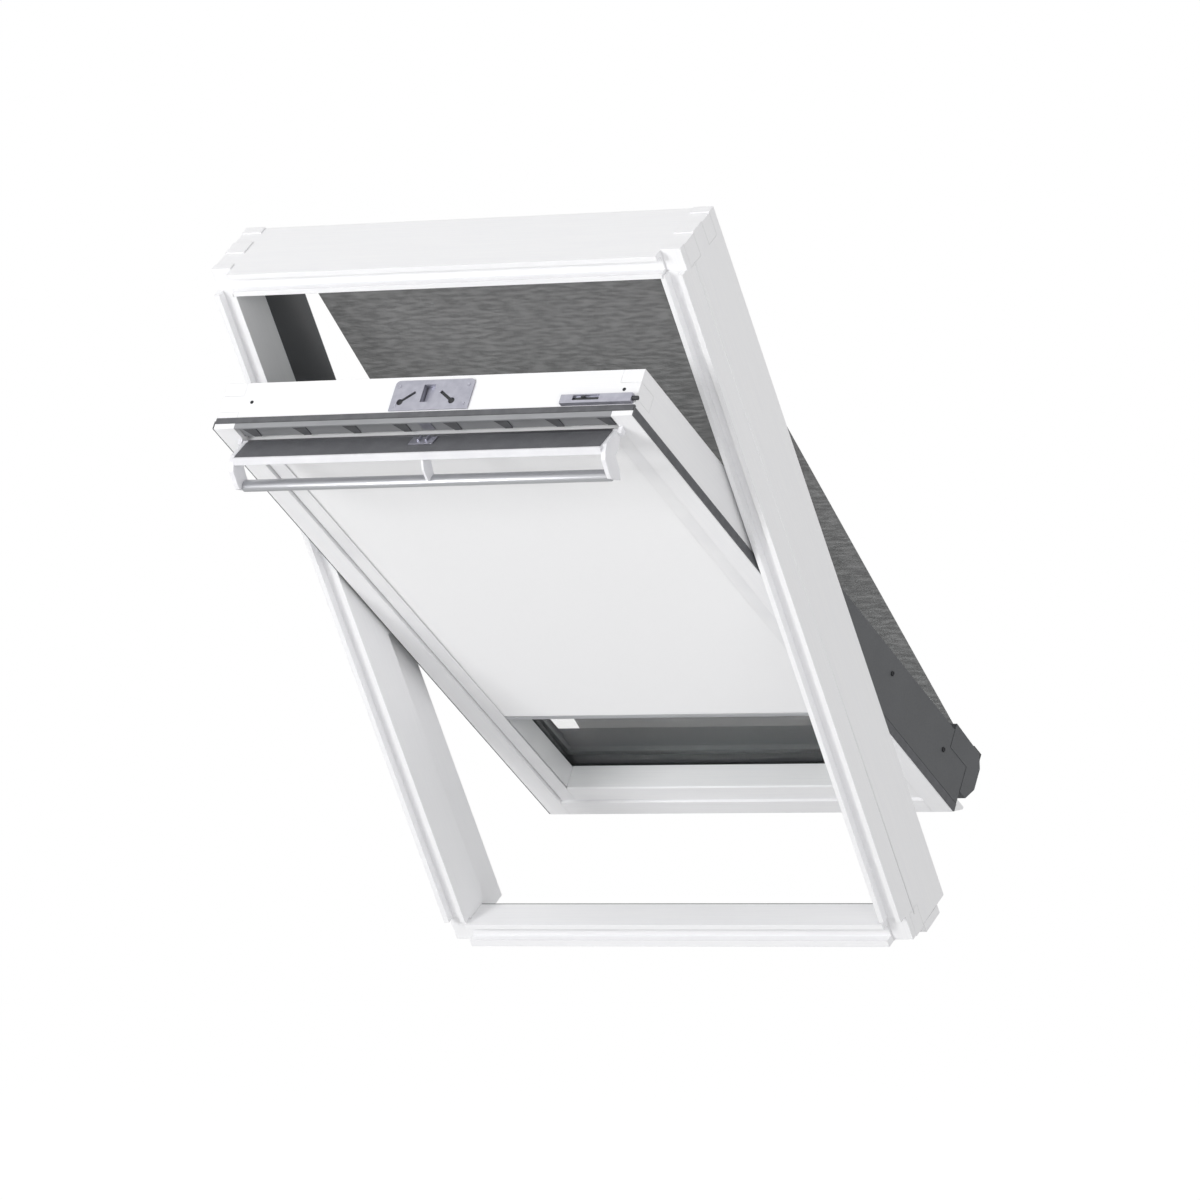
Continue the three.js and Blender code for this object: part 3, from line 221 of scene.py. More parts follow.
def laid_out(tree, size, tilt=0.0, source="Object"):
    """Places on a piece, counted in cells of the given size along the piece's own leaning axes."""
    place = add_node(tree, "ShaderNodeTexCoord")
    return add_node(
        tree, "ShaderNodeMapping", {"Rotation": (tilt, 0, 0), "Scale": size},
        {"Vector": place.outputs[source]}, vector_type="TEXTURE",
    ).outputs[0]


def mottled(tree, size, tilt=0.0, detail=2.0, source="Object"):
    """Soft blotches of the given size in metres."""
    places = laid_out(tree, size, tilt, source)
    return add_node(
        tree, "ShaderNodeTexNoise", {"Scale": 1.0, "Detail": detail}, {"Vector": places},
    ).outputs[0]


def ranged(tree, pattern, low, high, start=0.35, end=0.65):
    """The pattern's middle values spread from low to high."""
    values = {"From Min": start, "From Max": end, "To Min": low, "To Max": high}
    return add_node(tree, "ShaderNodeMapRange", values, {"Value": pattern}).outputs[0]


def colour_by(tree, shader, pattern, first, second):
    """Colours a shader from the first hex colour to the second as the pattern rises."""
    share = ranged(tree, pattern, 0.0, 1.0)
    mix = add_node(
        tree, "ShaderNodeMix", {6: linear(first), 7: linear(second)}, {0: share}, data_type="RGBA",
    )
    tree.links.new(shader.inputs["Base Color"], mix.outputs[2])


def gloss_by(tree, shader, pattern, low, high):
    """Moves the roughness from low to high as the pattern rises."""
    tree.links.new(shader.inputs["Roughness"], ranged(tree, pattern, low, high))


def relief_by(tree, shader, pattern, depth, edge=EDGE_RADIUS):
    """Raises the surface with the pattern, by depth metres, and softens its edges."""
    soft = add_node(tree, "ShaderNodeBevel", {"Radius": edge}, samples=4)
    bump = add_node(
        tree, "ShaderNodeBump", {"Strength": 1.0, "Distance": depth},
        {"Height": pattern, "Normal": soft.outputs[0]},
    )
    tree.links.new(shader.inputs["Normal"], bump.outputs[0])


def dress(material, *nodes):
    """Gives CAD pieces their material."""
    for name in nodes:
        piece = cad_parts[name]
        piece.data.materials.clear()
        piece.data.materials.append(material)


def lacquered_pine(name, tilt, along_x):
    """Satin spray lacquer over pine, with its streaks along the run of the piece."""
    material, tree, shader = new_material(name, 0.42)
    run = [GRAIN_WIDTH] * 3
    run[0 if along_x else 2] = GRAIN_LENGTH
    grain = mottled(tree, run, tilt, 3.0)
    peel = mottled(tree, (PEEL,) * 3, tilt)
    colour_by(tree, shader, grain, LACQUER_OVER_GRAIN, LACQUER)
    gloss_by(tree, shader, peel, 0.36, 0.48)
    heights = add_node(tree, "ShaderNodeMath", links={0: grain, 1: peel}, operation="ADD")
    relief_by(tree, shader, heights.outputs[0], LACQUER_RELIEF)
    return material


jamb_pine = lacquered_pine("lacquered_pine_jamb", ROOF_TILT, False)
dress(lacquered_pine("lacquered_pine_frame_rail", ROOF_TILT, True), "frame_head", "frame_sill")
dress(jamb_pine, "frame_jamb_left", "frame_jamb_right")
dress(lacquered_pine("lacquered_pine_sash_rail", SASH_TILT, True), "sash_head", "sash_bottom")
dress(
    lacquered_pine("lacquered_pine_sash_side", SASH_TILT, False),
    "sash_side_left", "sash_side_right",
)

# Beads on the jambs' outer sides. The spindle moulder leaves a fine one along each jamb, 40 mm
# behind its room-side face.
BEAD_AT = 40 * MM
BEAD_HALF_WIDTH = 1.2 * MM
BEAD_RISE = 0.8 * MM
BEAD_FROM = -560 * MM
BEAD_TO = 555 * MM
FRAME_HALF = 390 * MM
roof_place = Matrix.Rotation(ROOF_TILT, 4, "X")


def drawn_out(bm, run):
    """Draws a bmesh's faces out by a vector, into closed blocks."""
    grown = bmesh.ops.extrude_face_region(bm, geom=list(bm.faces))["geom"]
    moved = [item for item in grown if isinstance(item, bmesh.types.BMVert)]
    bmesh.ops.translate(bm, vec=run, verts=moved)


def smoothed_round(bm):
    """Shades a drawn or turned bar smooth along its sides, and its ends flat."""
    for face in bm.faces:
        face.smooth = len(face.verts) == 4


for side, word in ((-1, "left"), (1, "right")):
    bm = bmesh.new()
    bmesh.ops.create_circle(bm, cap_ends=True, segments=16, radius=1)
    bmesh.ops.scale(bm, vec=(BEAD_RISE, BEAD_HALF_WIDTH, 1), verts=bm.verts)
    bmesh.ops.translate(bm, vec=(side * FRAME_HALF, BEAD_AT, BEAD_FROM), verts=bm.verts)
    drawn_out(bm, (0, 0, BEAD_TO - BEAD_FROM))
    bmesh.ops.recalc_face_normals(bm, faces=bm.faces)
    smoothed_round(bm)
    bmesh.ops.transform(bm, matrix=roof_place, verts=bm.verts)
    bead = finished(bm, "jamb_bead_" + word, jamb_pine)
    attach(bead, "frame")

# Outside cladding. Sheet aluminium, folded on a press and coil-coated dark grey: a fine, even
# satin lacquer whose tooth is drawn at 1.5 mm, because the real one is too fine to show.
CLADDING_GREY = "#4c4e51"
CLADDING_DARK = "#46484b"
LACQUER_TOOTH = 1.5 * MM
LACQUER_TOOTH_RELIEF = 0.015 * MM
CLADDING_CLOUD = 120 * MM
FOLD_EDGE = 0.6 * MM

coil_coated, tree, shader = new_material("coil_coated_aluminium", 0.45)
tooth = mottled(tree, (LACQUER_TOOTH,) * 3)
cloud = mottled(tree, (CLADDING_CLOUD,) * 3)
colour_by(tree, shader, cloud, CLADDING_DARK, CLADDING_GREY)
gloss_by(tree, shader, tooth, 0.4, 0.5)
relief_by(tree, shader, tooth, LACQUER_TOOTH_RELIEF, FOLD_EDGE)
dress(
    coil_coated, "frame_cladding_left", "frame_cladding_right", "head_cover", "awning_cassette",
    "sash_cladding_left", "sash_cladding_right", "sash_cladding_bottom",
)

# Screws of the sash cladding. Each side is held by two blackened screws with low heads.
PIVOT_DEPTH = 33.3 * MM
CLADDING_HALF = 348.8 * MM
SCREW_RADIUS = 4.2 * MM
SCREW_RISE = 1.8 * MM
SCREW_TAPER_SHARE = 0.86
SCREW_EDGE_SHARE = 0.3
SOCKET_RIM_SHARE = 0.4
SOCKET_DEPTH_SHARE = 0.6
CLADDING_SCREWS = ((-344 * MM, 79 * MM), (-534 * MM, 63 * MM))
BLACKENED = "#232427"
BLACKENED_WORN = "#2c2d30"
WEAR_PATCH = 2 * MM
WEAR_GRAIN = 1 * MM
WEAR_RELIEF = 0.01 * MM
HEAD_EDGE = 0.3 * MM
sash_place = (
    roof_place @ Matrix.Translation((0, PIVOT_DEPTH, 0)) @ Matrix.Rotation(SASH_OPENING, 4, "X")
)


def broken(bm, edges, width):
    """Breaks sharp edges with a small round of the given width."""
    bmesh.ops.bevel(
        bm, geom=edges, offset=width, segments=2, profile=0.5, affect="EDGES", material=-1,
    )


def screw_head(place, radius, rise):
    """A low round head with a sunk socket, standing on the local xy plane of its place."""
    bm = bmesh.new()
    bmesh.ops.create_cone(
        bm, cap_ends=True, segments=20, depth=rise, matrix=Matrix.Translation((0, 0, rise / 2)),
        radius1=radius, radius2=radius * SCREW_TAPER_SHARE,
    )
    top = max(bm.faces, key=lambda face: face.calc_center_median().z)
    broken(bm, list(top.edges), rise * SCREW_EDGE_SHARE)
    top = max(bm.faces, key=lambda face: face.calc_center_median().z)
    bmesh.ops.inset_region(bm, faces=[top], thickness=radius * SOCKET_RIM_SHARE)
    bmesh.ops.translate(bm, verts=top.verts, vec=(0, 0, -rise * SOCKET_DEPTH_SHARE))
    bmesh.ops.recalc_face_normals(bm, faces=bm.faces)
    bmesh.ops.transform(bm, matrix=place, verts=bm.verts)
    mesh = bpy.data.meshes.new("head")
    bm.to_mesh(mesh)
    bm.free()
    return mesh


def screws(name, places, radius, rise, material, body):
    """One piece made of the screw heads at the given places."""
    bm = bmesh.new()
    for place in places:
        head = screw_head(place, radius, rise)
        bm.from_mesh(head)
        bpy.data.meshes.remove(head)
    piece = finished(bm, name, material)
    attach(piece, body)


blackened_steel, tree, shader = new_material("blackened_steel", 0.4, 0.6)
colour_by(tree, shader, mottled(tree, (WEAR_PATCH,) * 3), BLACKENED, BLACKENED_WORN)
relief_by(tree, shader, mottled(tree, (WEAR_GRAIN,) * 3), WEAR_RELIEF, HEAD_EDGE)
for side, word in ((-1, "left"), (1, "right")):
    screws(
        "cladding_screws_" + word,
        [
            sash_place @ Matrix.Translation((side * CLADDING_HALF, out, along))
            @ Matrix.Rotation(side * math.radians(90), 4, "Y")
            for along, out in CLADDING_SCREWS
        ],
        SCREW_RADIUS, SCREW_RISE, blackened_steel, "sash",
    )

# Glass unit. Two panes of clear float glass, a black spacer between them, and a rubber bead. The
# panes are coated against glare, so only a little of the room mirrors in them, and lamps shine
# through them.
GLASS_TINT = "#fafdfc"
GLASS_IOR = 1.5
GLARE = 0.06

float_glass, tree, shader = new_material("float_glass", 0.0)
shader.inputs["Base Color"].default_value = linear(GLASS_TINT)
shader.inputs["IOR"].default_value = GLASS_IOR
shader.inputs["Transmission Weight"].default_value = 1.0
shader.inputs["Alpha"].default_value = GLARE
rays = add_node(tree, "ShaderNodeLightPath")
passing = either(tree, rays.outputs["Is Shadow Ray"], rays.outputs["Is Diffuse Ray"])
clear = add_node(tree, "ShaderNodeBsdfTransparent", {"Color": linear(GLASS_TINT)})
output = next(node for node in tree.nodes if node.type == "OUTPUT_MATERIAL")
tree.links.new(output.inputs["Surface"], mixed(tree, passing, shader, clear))
dress(float_glass, "inner_pane", "outer_pane")

# Weather seals and the glazing bead. Extruded EPDM rubber, cut to length and pressed into grooves:
# matt and slightly dusty, so that it looks dark grey and not black.
RUBBER_GREY = "#595a5d"
RUBBER_DUSTY = "#66676a"
DUST_PATCH = 14 * MM
RUBBER_GRAIN = 1.2 * MM
RUBBER_RELIEF = 0.02 * MM
RUBBER_EDGE = 0.5 * MM

epdm_rubber, tree, shader = new_material("extruded_epdm_rubber", 0.8)
dust = mottled(tree, (DUST_PATCH,) * 3, detail=4.0)
colour_by(tree, shader, dust, RUBBER_GREY, RUBBER_DUSTY)
gloss_by(tree, shader, dust, 0.72, 0.88)
relief_by(tree, shader, mottled(tree, (RUBBER_GRAIN,) * 3), RUBBER_RELIEF, RUBBER_EDGE)
dress(
    epdm_rubber, "sill_gasket", "glazing_bead",
    "sash_gasket_left", "sash_gasket_right", "sash_gasket_head",
)

# Black moulded parts: the glass spacer, the cassette's end caps, the awning's bar and its hooks,
# and the sliding bolt. Polypropylene from a fine spark-eroded mould, satin and nearly black.
BLACK_PLASTIC = "#26272a"
BLACK_PLASTIC_WORN = "#2c2d30"
BLACK_PLASTIC_CLOUD = 40 * MM
MOULD_TEXTURE = 1 * MM
MOULD_RELIEF = 0.02 * MM
MOULD_EDGE = 0.5 * MM

black_plastic, tree, shader = new_material("moulded_black_polypropylene", 0.5)
skin = mottled(tree, (MOULD_TEXTURE,) * 3)
cloud = mottled(tree, (BLACK_PLASTIC_CLOUD,) * 3)
colour_by(tree, shader, cloud, BLACK_PLASTIC, BLACK_PLASTIC_WORN)
gloss_by(tree, shader, skin, 0.45, 0.58)
relief_by(tree, shader, skin, MOULD_RELIEF, MOULD_EDGE)
dress(
    black_plastic, "glass_spacer", "cassette_cap_left", "cassette_cap_right", "awning_bar",
    "awning_hook_left", "awning_hook_right", "sliding_bolt",
)

# Steel fittings: pivot tracks and shoes, the lock plate, its latch and strike, the bolt's housing,
# the flap's rod and catch. Pressed steel with blue zinc plating, softly brushed by the tools.
ZINC_LIGHT = "#b2b2bc"
ZINC_DARK = "#a6a6b1"
BRUSH_WIDTH = 0.7 * MM
BRUSH_LENGTH = 30 * MM
BRUSH_RELIEF = 0.01 * MM
ZINC_PATCH = 12 * MM
PRESSED_EDGE = 0.4 * MM

zinc_steel, tree, shader = new_material("zinc_plated_steel", 0.4, 0.75)
brushed = mottled(tree, (BRUSH_LENGTH, BRUSH_WIDTH, BRUSH_WIDTH), SASH_TILT, 3.0)
colour_by(tree, shader, mottled(tree, (ZINC_PATCH,) * 3, detail=3.0), ZINC_DARK, ZINC_LIGHT)
gloss_by(tree, shader, brushed, 0.34, 0.5)
relief_by(tree, shader, brushed, BRUSH_RELIEF, PRESSED_EDGE)
dress(
    zinc_steel, "pivot_track_left", "pivot_track_right", "pivot_shoe_left", "pivot_shoe_right",
    "lock_plate", "latch", "lock_strike", "bolt_housing", "flap_hinge_rod", "flap_catch",
)

# Screws of the lock plate, zinc-plated, and of the sash's corners, blackened, with low heads.
SASH_TOP = 478 * MM
LOCK_PLATE_TOP = SASH_TOP + 2.3 * MM
LOCK_SCREW_RADIUS = 3 * MM
CORNER_SCREW_RADIUS = 2.8 * MM
LOW_HEAD_RISE = 0.8 * MM
LOCK_SCREWS = ((-50 * MM, 28 * MM), (64 * MM, 28 * MM), (64 * MM, 60 * MM), (-50 * MM, 60 * MM))
CORNER_SCREWS = ((-296 * MM, 44 * MM), (322 * MM, 44 * MM))

screws(
    "lock_plate_screws",
    [sash_place @ Matrix.Translation((across, out, LOCK_PLATE_TOP)) for across, out in LOCK_SCREWS],
    LOCK_SCREW_RADIUS, LOW_HEAD_RISE, zinc_steel, "sash",
)
screws(
    "corner_screws",
    [sash_place @ Matrix.Translation((across, out, SASH_TOP)) for across, out in CORNER_SCREWS],
    CORNER_SCREW_RADIUS, LOW_HEAD_RISE, blackened_steel, "sash",
)

# Painted shade in the lock's key slots. A thin black sheet under the lock plate stands in for the
# shade inside its key slots. A box of zinc-plated sheet lines the latch's pocket.
SHEET_THICKNESS = 0.2 * MM
KEY_SHADE_LEFT = -56.5 * MM
KEY_SHADE_RIGHT = 71.5 * MM
KEY_SHADE_FRONT = 21.5 * MM
KEY_SHADE_BACK = 68.5 * MM
POCKET_HALF = 9.4 * MM
POCKET_FRONT = 33.2 * MM
POCKET_BACK = 62.2 * MM
POCKET_FOOT = SASH_TOP - 16.8 * MM
PLATE_FOOT = SASH_TOP + 0.05 * MM


def box_of(bm, low, high):
    """Adds a block to a bmesh between two corners."""
    middle = [(a + b) / 2 for a, b in zip(low, high)]
    size = [b - a for a, b in zip(low, high)]
    place = Matrix.Translation(middle) @ Matrix.Diagonal((*size, 1))
    bmesh.ops.create_cube(bm, size=1, matrix=place)


bm = bmesh.new()
for low, high in (
    ((KEY_SHADE_LEFT, KEY_SHADE_FRONT), (-POCKET_HALF, KEY_SHADE_BACK)),
    ((POCKET_HALF, KEY_SHADE_FRONT), (KEY_SHADE_RIGHT, KEY_SHADE_BACK)),
    ((-POCKET_HALF, KEY_SHADE_FRONT), (POCKET_HALF, POCKET_FRONT)),
    ((-POCKET_HALF, POCKET_BACK), (POCKET_HALF, KEY_SHADE_BACK)),
):
    box_of(bm, (*low, PLATE_FOOT), (*high, PLATE_FOOT + SHEET_THICKNESS))
bmesh.ops.transform(bm, matrix=sash_place, verts=bm.verts)
# This black sheet is painted shade: it only darkens the lock plate's key slots.
key_slot_shade = finished(bm, "key_slot_shade_sheet", black_plastic)
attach(key_slot_shade, "sash")

bm = bmesh.new()
box_of(
    bm, (-POCKET_HALF, POCKET_FRONT, POCKET_FOOT),
    (POCKET_HALF, POCKET_BACK, POCKET_FOOT + SHEET_THICKNESS),
)
for side in (-1, 1):
    inner, outer = sorted((side * POCKET_HALF, side * (POCKET_HALF - SHEET_THICKNESS)))
    box_of(bm, (inner, POCKET_FRONT, POCKET_FOOT), (outer, POCKET_BACK, PLATE_FOOT))
for near in (POCKET_FRONT, POCKET_BACK - SHEET_THICKNESS):
    box_of(bm, (-POCKET_HALF, near, POCKET_FOOT), (POCKET_HALF, near + SHEET_THICKNESS, PLATE_FOOT))
bmesh.ops.transform(bm, matrix=sash_place, verts=bm.verts)
pocket = finished(bm, "latch_pocket_lining", zinc_steel)
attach(pocket, "sash")

# Vent in the sash head: a grille moulded in grey ABS, with a dark open-cell foam filter behind it.
GRILLE_GREY = "#97989b"
GRILLE_SHADE = "#8f9093"
GRILLE_CLOUD = 60 * MM
FOAM_DARK = "#26272a"
FOAM_LIGHT = "#3d3e41"
FOAM_CELL = 1.5 * MM
FOAM_RELIEF = 0.5 * MM

grey_abs, tree, shader = new_material("moulded_grey_abs", 0.5)
skin = mottled(tree, (MOULD_TEXTURE,) * 3)
colour_by(tree, shader, mottled(tree, (GRILLE_CLOUD,) * 3), GRILLE_SHADE, GRILLE_GREY)
gloss_by(tree, shader, skin, 0.45, 0.58)
relief_by(tree, shader, skin, MOULD_RELIEF, MOULD_EDGE)
dress(grey_abs, "vent_grille")

open_foam, tree, shader = new_material("open_cell_polyurethane_foam", 0.95)
cells = add_node(
    tree, "ShaderNodeTexVoronoi", {"Scale": 1.0}, {"Vector": laid_out(tree, (FOAM_CELL,) * 3)},
).outputs[0]
colour_by(tree, shader, cells, FOAM_DARK, FOAM_LIGHT)
relief_by(tree, shader, cells, FOAM_RELIEF)
dress(open_foam, "vent_filter")

# Painted shade in the grille's eight slots: dark trapezia in the seals' rubber lie in the slots for
# the shade in them.
VENT_SHADE_TOP = 26 * MM
VENT_SHADE_FOOT = 12 * MM
VENT_SHADE_RIGHT = 10.5 * MM
VENT_SHADE_FACE = 5.2 * MM
VENT_SHADE_DEPTH = 1.25 * MM
VENT_SHADE_RISE = (447.3 * MM, 474.8 * MM)
SLOTS = 8
SLOT_PITCH = 84 * MM

bm = bmesh.new()
for step in range(SLOTS):
    right = (step - (SLOTS - 1) / 2) * SLOT_PITCH + VENT_SHADE_RIGHT
    outline = [
        (right - VENT_SHADE_FOOT, VENT_SHADE_RISE[0]), (right, VENT_SHADE_RISE[0]),
        (right, VENT_SHADE_RISE[1]), (right - VENT_SHADE_TOP, VENT_SHADE_RISE[1]),
    ]
    bm.faces.new([bm.verts.new((across, VENT_SHADE_FACE, along)) for across, along in outline])
drawn_out(bm, (0, VENT_SHADE_DEPTH, 0))
bmesh.ops.recalc_face_normals(bm, faces=bm.faces)
bmesh.ops.transform(bm, matrix=sash_place, verts=bm.verts)
# These dark trapezia are painted shade for the grille's slots, made in the seals' rubber material.
vent_slot_shade = finished(bm, "vent_slot_shade_pieces", epdm_rubber)
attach(vent_slot_shade, "sash")

# Latch pull. A zinc-plated steel tongue on the grille's middle, above the flap's catch.
PULL_HALF = 10 * MM
PULL_DEPTH = (5.1 * MM, 6.4 * MM)
PULL_RISE = (450 * MM, 470 * MM)
PULL_EDGE = 0.4 * MM

bm = bmesh.new()
box_of(bm, (-PULL_HALF, PULL_DEPTH[0], PULL_RISE[0]), (PULL_HALF, PULL_DEPTH[1], PULL_RISE[1]))
broken(bm, list(bm.edges), PULL_EDGE)
bmesh.ops.transform(bm, matrix=sash_place, verts=bm.verts)
pull = finished(bm, "latch_pull", zinc_steel)
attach(pull, "sash")

# Inner blind's casing and side channels: extruded aluminium, powder-coated white.
COATED_WHITE = "#f3f3f4"
COATED_SHADE = "#ececee"
COATED_CLOUD = 80 * MM
POWDER_RELIEF = 0.015 * MM
EXTRUDED_EDGE = 0.6 * MM

white_coated, tree, shader = new_material("powder_coated_white_aluminium", 0.38)
skin = mottled(tree, (MOULD_TEXTURE,) * 3, SASH_TILT)
cloud = mottled(tree, (COATED_CLOUD,) * 3, SASH_TILT)
colour_by(tree, shader, cloud, COATED_SHADE, COATED_WHITE)
gloss_by(tree, shader, skin, 0.34, 0.44)
relief_by(tree, shader, skin, POWDER_RELIEF, EXTRUDED_EDGE)
dress(white_coated, "blind_casing", "blind_channel_left", "blind_channel_right")

# The blind's tube and bottom bar, and the flap's grip bar: extruded aluminium, brushed along its
# length and anodised in its natural colour, which gives long soft highlights.
ANODISED_LIGHT = "#c9cacd"
ANODISED_DARK = "#b4b5b9"
DRAW_LINE_WIDTH = 0.5 * MM
DRAW_LINE_LENGTH = 200 * MM
DRAW_LINE_RELIEF = 0.006 * MM
SAWN_EDGE = 0.4 * MM

anodised, tree, shader = new_material("anodised_aluminium", 0.34, 0.85)
drawn = (DRAW_LINE_LENGTH, DRAW_LINE_WIDTH, DRAW_LINE_WIDTH)
lines = mottled(tree, drawn, SASH_TILT, 3.0)
colour_by(tree, shader, lines, ANODISED_DARK, ANODISED_LIGHT)
gloss_by(tree, shader, lines, 0.28, 0.4)
relief_by(tree, shader, lines, DRAW_LINE_RELIEF, SAWN_EDGE)
dress(anodised, "blind_roller", "blind_bottom_bar")

# Inner blind's cloth. White blackout polyester, woven plain and coated, 581 mm wide. It hangs flat
# between its roller and its bar; the 0.4 mm threads are drawn at 1.6 mm so that they show.
CLOTH_WIDTH = 581 * MM
CLOTH_TOP = 421 * MM
CLOTH_FOOT = -331 * MM
CLOTH_OUT = 6.3 * MM
CLOTH_THICKNESS = 0.5 * MM
THREAD = 1.6 * MM
THREAD_RELIEF = 0.04 * MM
CLOTH_SHEEN = 0.1
CLOTH_WHITE = "#fbfbfb"
CLOTH_SHADE = "#f5f5f6"
ONE_BAND = math.pi / 10  # the wave node's scale at which it draws one band in each cell
cloth_length = CLOTH_TOP - CLOTH_FOOT
cloth_foot = Vector((0, CLOTH_OUT, CLOTH_FOOT))


def woven(tree, width, length, pitch):
    """Threads crossing at right angles at the given pitch, on the sheet's own UV map."""
    places = laid_out(tree, (pitch / width, pitch / length, 1), source="UV")
    values = {"Scale": ONE_BAND, "Distortion": 0.4, "Detail": 1.0}
    warp, weft = (
        add_node(
            tree, "ShaderNodeTexWave", values, {"Vector": places}, bands_direction=way,
        ).outputs[1]
        for way in "XY"
    )
    return add_node(
        tree, "ShaderNodeMath", links={0: warp, 1: weft}, operation="MULTIPLY",
    ).outputs[0]


def sheet(width, length, columns, rows):
    """A flat sheet in the local xz plane, from z = 0 up, with its own UV map."""
    bm = bmesh.new()
    bm.loops.layers.uv.new("laid_flat")
    bmesh.ops.create_grid(bm, x_segments=columns, y_segments=rows, size=0.5, calc_uvs=True)
    bmesh.ops.scale(bm, vec=(width, length, 1), verts=bm.verts)
    bmesh.ops.translate(bm, vec=(0, length / 2, 0), verts=bm.verts)
    upright = Matrix.Rotation(math.radians(90), 3, "X")
    bmesh.ops.rotate(bm, cent=(0, 0, 0), matrix=upright, verts=bm.verts)
    return bm


def thickened(piece, thickness):
    """Gives a sheet its thickness, half on either side."""
    wall = piece.modifiers.new("thickness", "SOLIDIFY")
    wall.thickness = thickness
    wall.offset = 0


blackout, tree, shader = new_material("woven_blackout_polyester", 0.9)
threads = woven(tree, CLOTH_WIDTH, cloth_length, THREAD)
colour_by(tree, shader, threads, CLOTH_SHADE, CLOTH_WHITE)
relief_by(tree, shader, threads, THREAD_RELIEF)
shader.inputs["Sheen Weight"].default_value = CLOTH_SHEEN

bm = sheet(CLOTH_WIDTH, cloth_length, 24, 60)
bmesh.ops.transform(bm, matrix=sash_place @ Matrix.Translation(cloth_foot), verts=bm.verts)
cloth = finished(bm, "blind_cloth_sheet", blackout)
thickened(cloth, CLOTH_THICKNESS)
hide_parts("blind_cloth")
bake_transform(cloth)

# Ventilation flap: a white moulded plate with a grey liner, white end caps and middle support.
WHITE_ABS = "#ededf0"
WHITE_ABS_SHADE = "#e6e6ea"
WHITE_ABS_CLOUD = 50 * MM
LINER_GREY = "#626367"
LINER_SHADE = "#5b5c60"
LINER_CLOUD = 25 * MM
LINER_PORE = 1.8 * MM
LINER_RELIEF = 0.05 * MM

white_abs, tree, shader = new_material("moulded_white_abs", 0.42)
skin = mottled(tree, (MOULD_TEXTURE,) * 3)
colour_by(tree, shader, mottled(tree, (WHITE_ABS_CLOUD,) * 3), WHITE_ABS_SHADE, WHITE_ABS)
gloss_by(tree, shader, skin, 0.38, 0.48)
relief_by(tree, shader, skin, MOULD_RELIEF)
dress(
    white_abs, "vent_flap", "flap_cap_left", "flap_cap_right", "flap_support_middle", "awning_clip",
    "flap_bracket_left", "flap_bracket_right",
)

liner_foam, tree, shader = new_material("grey_polyethylene_liner", 0.75)
skin = mottled(tree, (LINER_PORE,) * 3)
colour_by(tree, shader, mottled(tree, (LINER_CLOUD,) * 3, detail=3.0), LINER_SHADE, LINER_GREY)
gloss_by(tree, shader, skin, 0.66, 0.84)
relief_by(tree, shader, skin, LINER_RELIEF)
dress(liner_foam, "flap_liner")

# Hinge seal. A soft grey strip glued round the flap's hinge tube, so that no draught passes it.
HINGE_OUT = -4.5 * MM
HINGE_ALONG = 445.5 * MM
FLAP_OPENING = math.radians(63.9)
SEAL_HALF = 303 * MM
SEAL_RADIUS = 4.2 * MM
SEAL_THICKNESS = 0.3 * MM
SEAL_START = math.radians(-205)
SEAL_SWEEP = math.radians(160)
flap_place = (
    sash_place @ Matrix.Translation((0, HINGE_OUT, HINGE_ALONG))
    @ Matrix.Rotation(FLAP_OPENING, 4, "X")
)

bm = bmesh.new()
ends = [bm.verts.new((side * SEAL_HALF, 0, SEAL_RADIUS)) for side in (-1, 1)]
line = bm.edges.new(ends)
bmesh.ops.rotate(bm, cent=(0, 0, 0), matrix=Matrix.Rotation(SEAL_START, 3, "X"), verts=ends)
bmesh.ops.spin(bm, geom=[*ends, line], cent=(0, 0, 0), axis=(1, 0, 0), angle=SEAL_SWEEP, steps=26)
bmesh.ops.recalc_face_normals(bm, faces=bm.faces)
for face in bm.faces:
    face.smooth = True
bmesh.ops.transform(bm, matrix=flap_place, verts=bm.verts)
seal = finished(bm, "flap_hinge_seal", liner_foam)
thickened(seal, SEAL_THICKNESS)
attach(seal, "flap")

# Grip bar. An oval aluminium tube between the flap's end caps, cut square with broken edges.
GRIP_HALF = 304.7 * MM
GRIP_OUT = -47 * MM
GRIP_ALONG = 40.4 * MM
GRIP_LONG = 10.5 * MM
GRIP_SHORT = 8 * MM
GRIP_EDGE = 0.8 * MM
sideways = Matrix.Rotation(math.radians(90), 4, "Y")
grip_place = flap_place @ Matrix.Translation((0, GRIP_OUT, GRIP_ALONG))


def rims(bm):
    """The edges round the two ends of a bar along x."""
    return [edge for edge in bm.edges if abs(edge.verts[0].co.x - edge.verts[1].co.x) < MM]


bm = bmesh.new()
bmesh.ops.create_circle(bm, cap_ends=True, segments=56, radius=1)
bmesh.ops.scale(bm, vec=(GRIP_LONG, GRIP_SHORT, 1), verts=bm.verts)
bmesh.ops.transform(bm, matrix=sideways, verts=bm.verts)
bmesh.ops.translate(bm, vec=(-GRIP_HALF, 0, 0), verts=bm.verts)
drawn_out(bm, (2 * GRIP_HALF, 0, 0))
broken(bm, rims(bm), GRIP_EDGE)
bmesh.ops.recalc_face_normals(bm, faces=bm.faces)
smoothed_round(bm)
bmesh.ops.transform(bm, matrix=grip_place, verts=bm.verts)
grip = finished(bm, "grip_bar_tube", anodised)
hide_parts("grip_bar")
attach(grip, "flap")

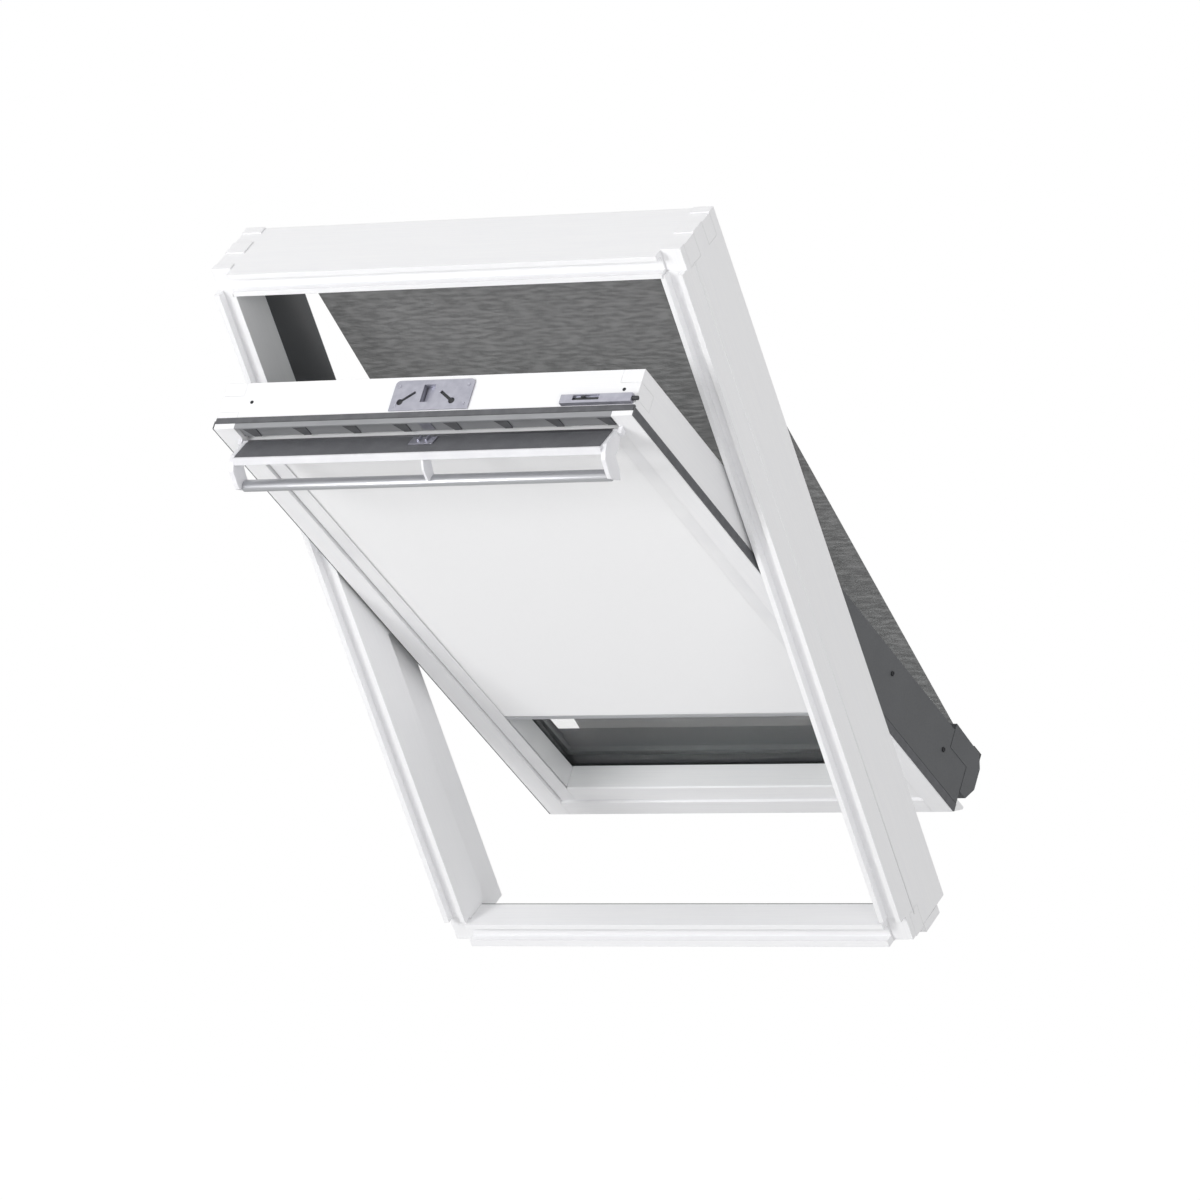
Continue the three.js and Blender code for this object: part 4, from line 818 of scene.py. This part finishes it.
# Awning blind's mesh. PVC-coated glass-fibre yarn in an open weave, 646 mm wide, stretched from its
# bar to the roller in the cassette. The weave's moire shows as lighter dashes across the mesh, and
# the 1 mm yarns are drawn at 2.5 mm so that they show.
MESH_WIDTH = 646 * MM
MESH_RUN = 1048.2 * MM
MESH_TO_ROLLER = 38.6 * MM
MESH_RISE = math.radians(20.46)
MESH_THICKNESS = 0.6 * MM
AWNING_SLOPE = math.radians(15.16)
BAR_PLACE = Vector((0, 418.33 * MM, -526.77 * MM))
YARN = 2.5 * MM
YARN_RELIEF = 0.1 * MM
DASH_LENGTH = 28 * MM
DASH_WIDTH = 6 * MM
MESH_GREY = "#69696a"
MESH_LIGHT = "#7a7a7b"
# How far the mesh lets light through, each of its two faces by itself, so squared for the whole,
# and the pattern's values between which it goes from the most to the least.
OPEN_LEAST = 0.29
OPEN_MOST = 0.38
DASH_EDGES = (0.4, 0.68)
awning_place = roof_place @ Matrix.Translation(BAR_PLACE) @ Matrix.Rotation(AWNING_SLOPE, 4, "X")
mesh_length = MESH_RUN + MESH_TO_ROLLER

coated_mesh, tree, shader = new_material("coated_glass_fibre_mesh", 0.85)
dash = (DASH_LENGTH / MESH_WIDTH, DASH_WIDTH / mesh_length, 1)
dashes = mottled(tree, dash, detail=1.0, source="UV")
yarns = woven(tree, MESH_WIDTH, mesh_length, YARN)
colour_by(tree, shader, dashes, MESH_GREY, MESH_LIGHT)
relief_by(tree, shader, yarns, YARN_RELIEF)
solid_share = ranged(tree, dashes, 1 - OPEN_LEAST, 1 - OPEN_MOST, *DASH_EDGES)
tree.links.new(shader.inputs["Alpha"], solid_share)

bm = sheet(MESH_WIDTH, mesh_length, 16, 80)
bent = [vert for vert in bm.verts if vert.co.z > MESH_RUN]
bmesh.ops.rotate(bm, cent=(0, 0, MESH_RUN), matrix=Matrix.Rotation(-MESH_RISE, 3, "X"), verts=bent)
bmesh.ops.transform(bm, matrix=awning_place, verts=bm.verts)
net = finished(bm, "awning_mesh_sheet", coated_mesh)
thickened(net, MESH_THICKNESS)
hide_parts("awning_mesh")
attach(net, "awning")

# The awning's roll: the rest of the mesh, wound tight round its tube inside the cassette.
ROLL_RADIUS = 15 * MM
ROLL_HALF = 323 * MM
ROLL_LAYER = 1.2 * MM
LAYER_RELIEF = 0.2 * MM
PIN_RADIUS = 4 * MM
PIN_HALF = 336.3 * MM
ROLL_EDGE = 0.4 * MM
ROLL_PLACE = Vector((0, 163.59 * MM, 522 * MM))

wound_mesh, tree, shader = new_material("wound_glass_fibre_mesh", 0.85)
place = add_node(tree, "ShaderNodeTexCoord").outputs["Object"]
centred = add_node(
    tree, "ShaderNodeMapping", {"Location": roof_place @ ROLL_PLACE}, {"Vector": place},
    vector_type="TEXTURE",
).outputs[0]
layers = add_node(
    tree, "ShaderNodeTexWave", {"Scale": 0.5 / ROLL_LAYER / math.pi, "Distortion": 0.0},
    {"Vector": centred}, wave_type="RINGS", rings_direction="X",
).outputs[1]
colour_by(tree, shader, layers, MESH_GREY, MESH_LIGHT)
relief_by(tree, shader, layers, LAYER_RELIEF)

for name, radius, half, material, slot in (
    ("awning_mesh_roll", ROLL_RADIUS, ROLL_HALF, wound_mesh, "awning_mesh"),
    ("awning_roller_pin", PIN_RADIUS, PIN_HALF, zinc_steel, "steel"),
):
    bm = bmesh.new()
    bmesh.ops.create_cone(
        bm, cap_ends=True, segments=48, radius1=radius, radius2=radius, depth=2 * half,
        matrix=sideways,
    )
    broken(bm, rims(bm), ROLL_EDGE)
    smoothed_round(bm)
    bmesh.ops.transform(bm, matrix=roof_place @ Matrix.Translation(ROLL_PLACE), verts=bm.verts)
    piece = finished(bm, name, material)
    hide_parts("awning_roller")
    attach(piece, "awning_roller")
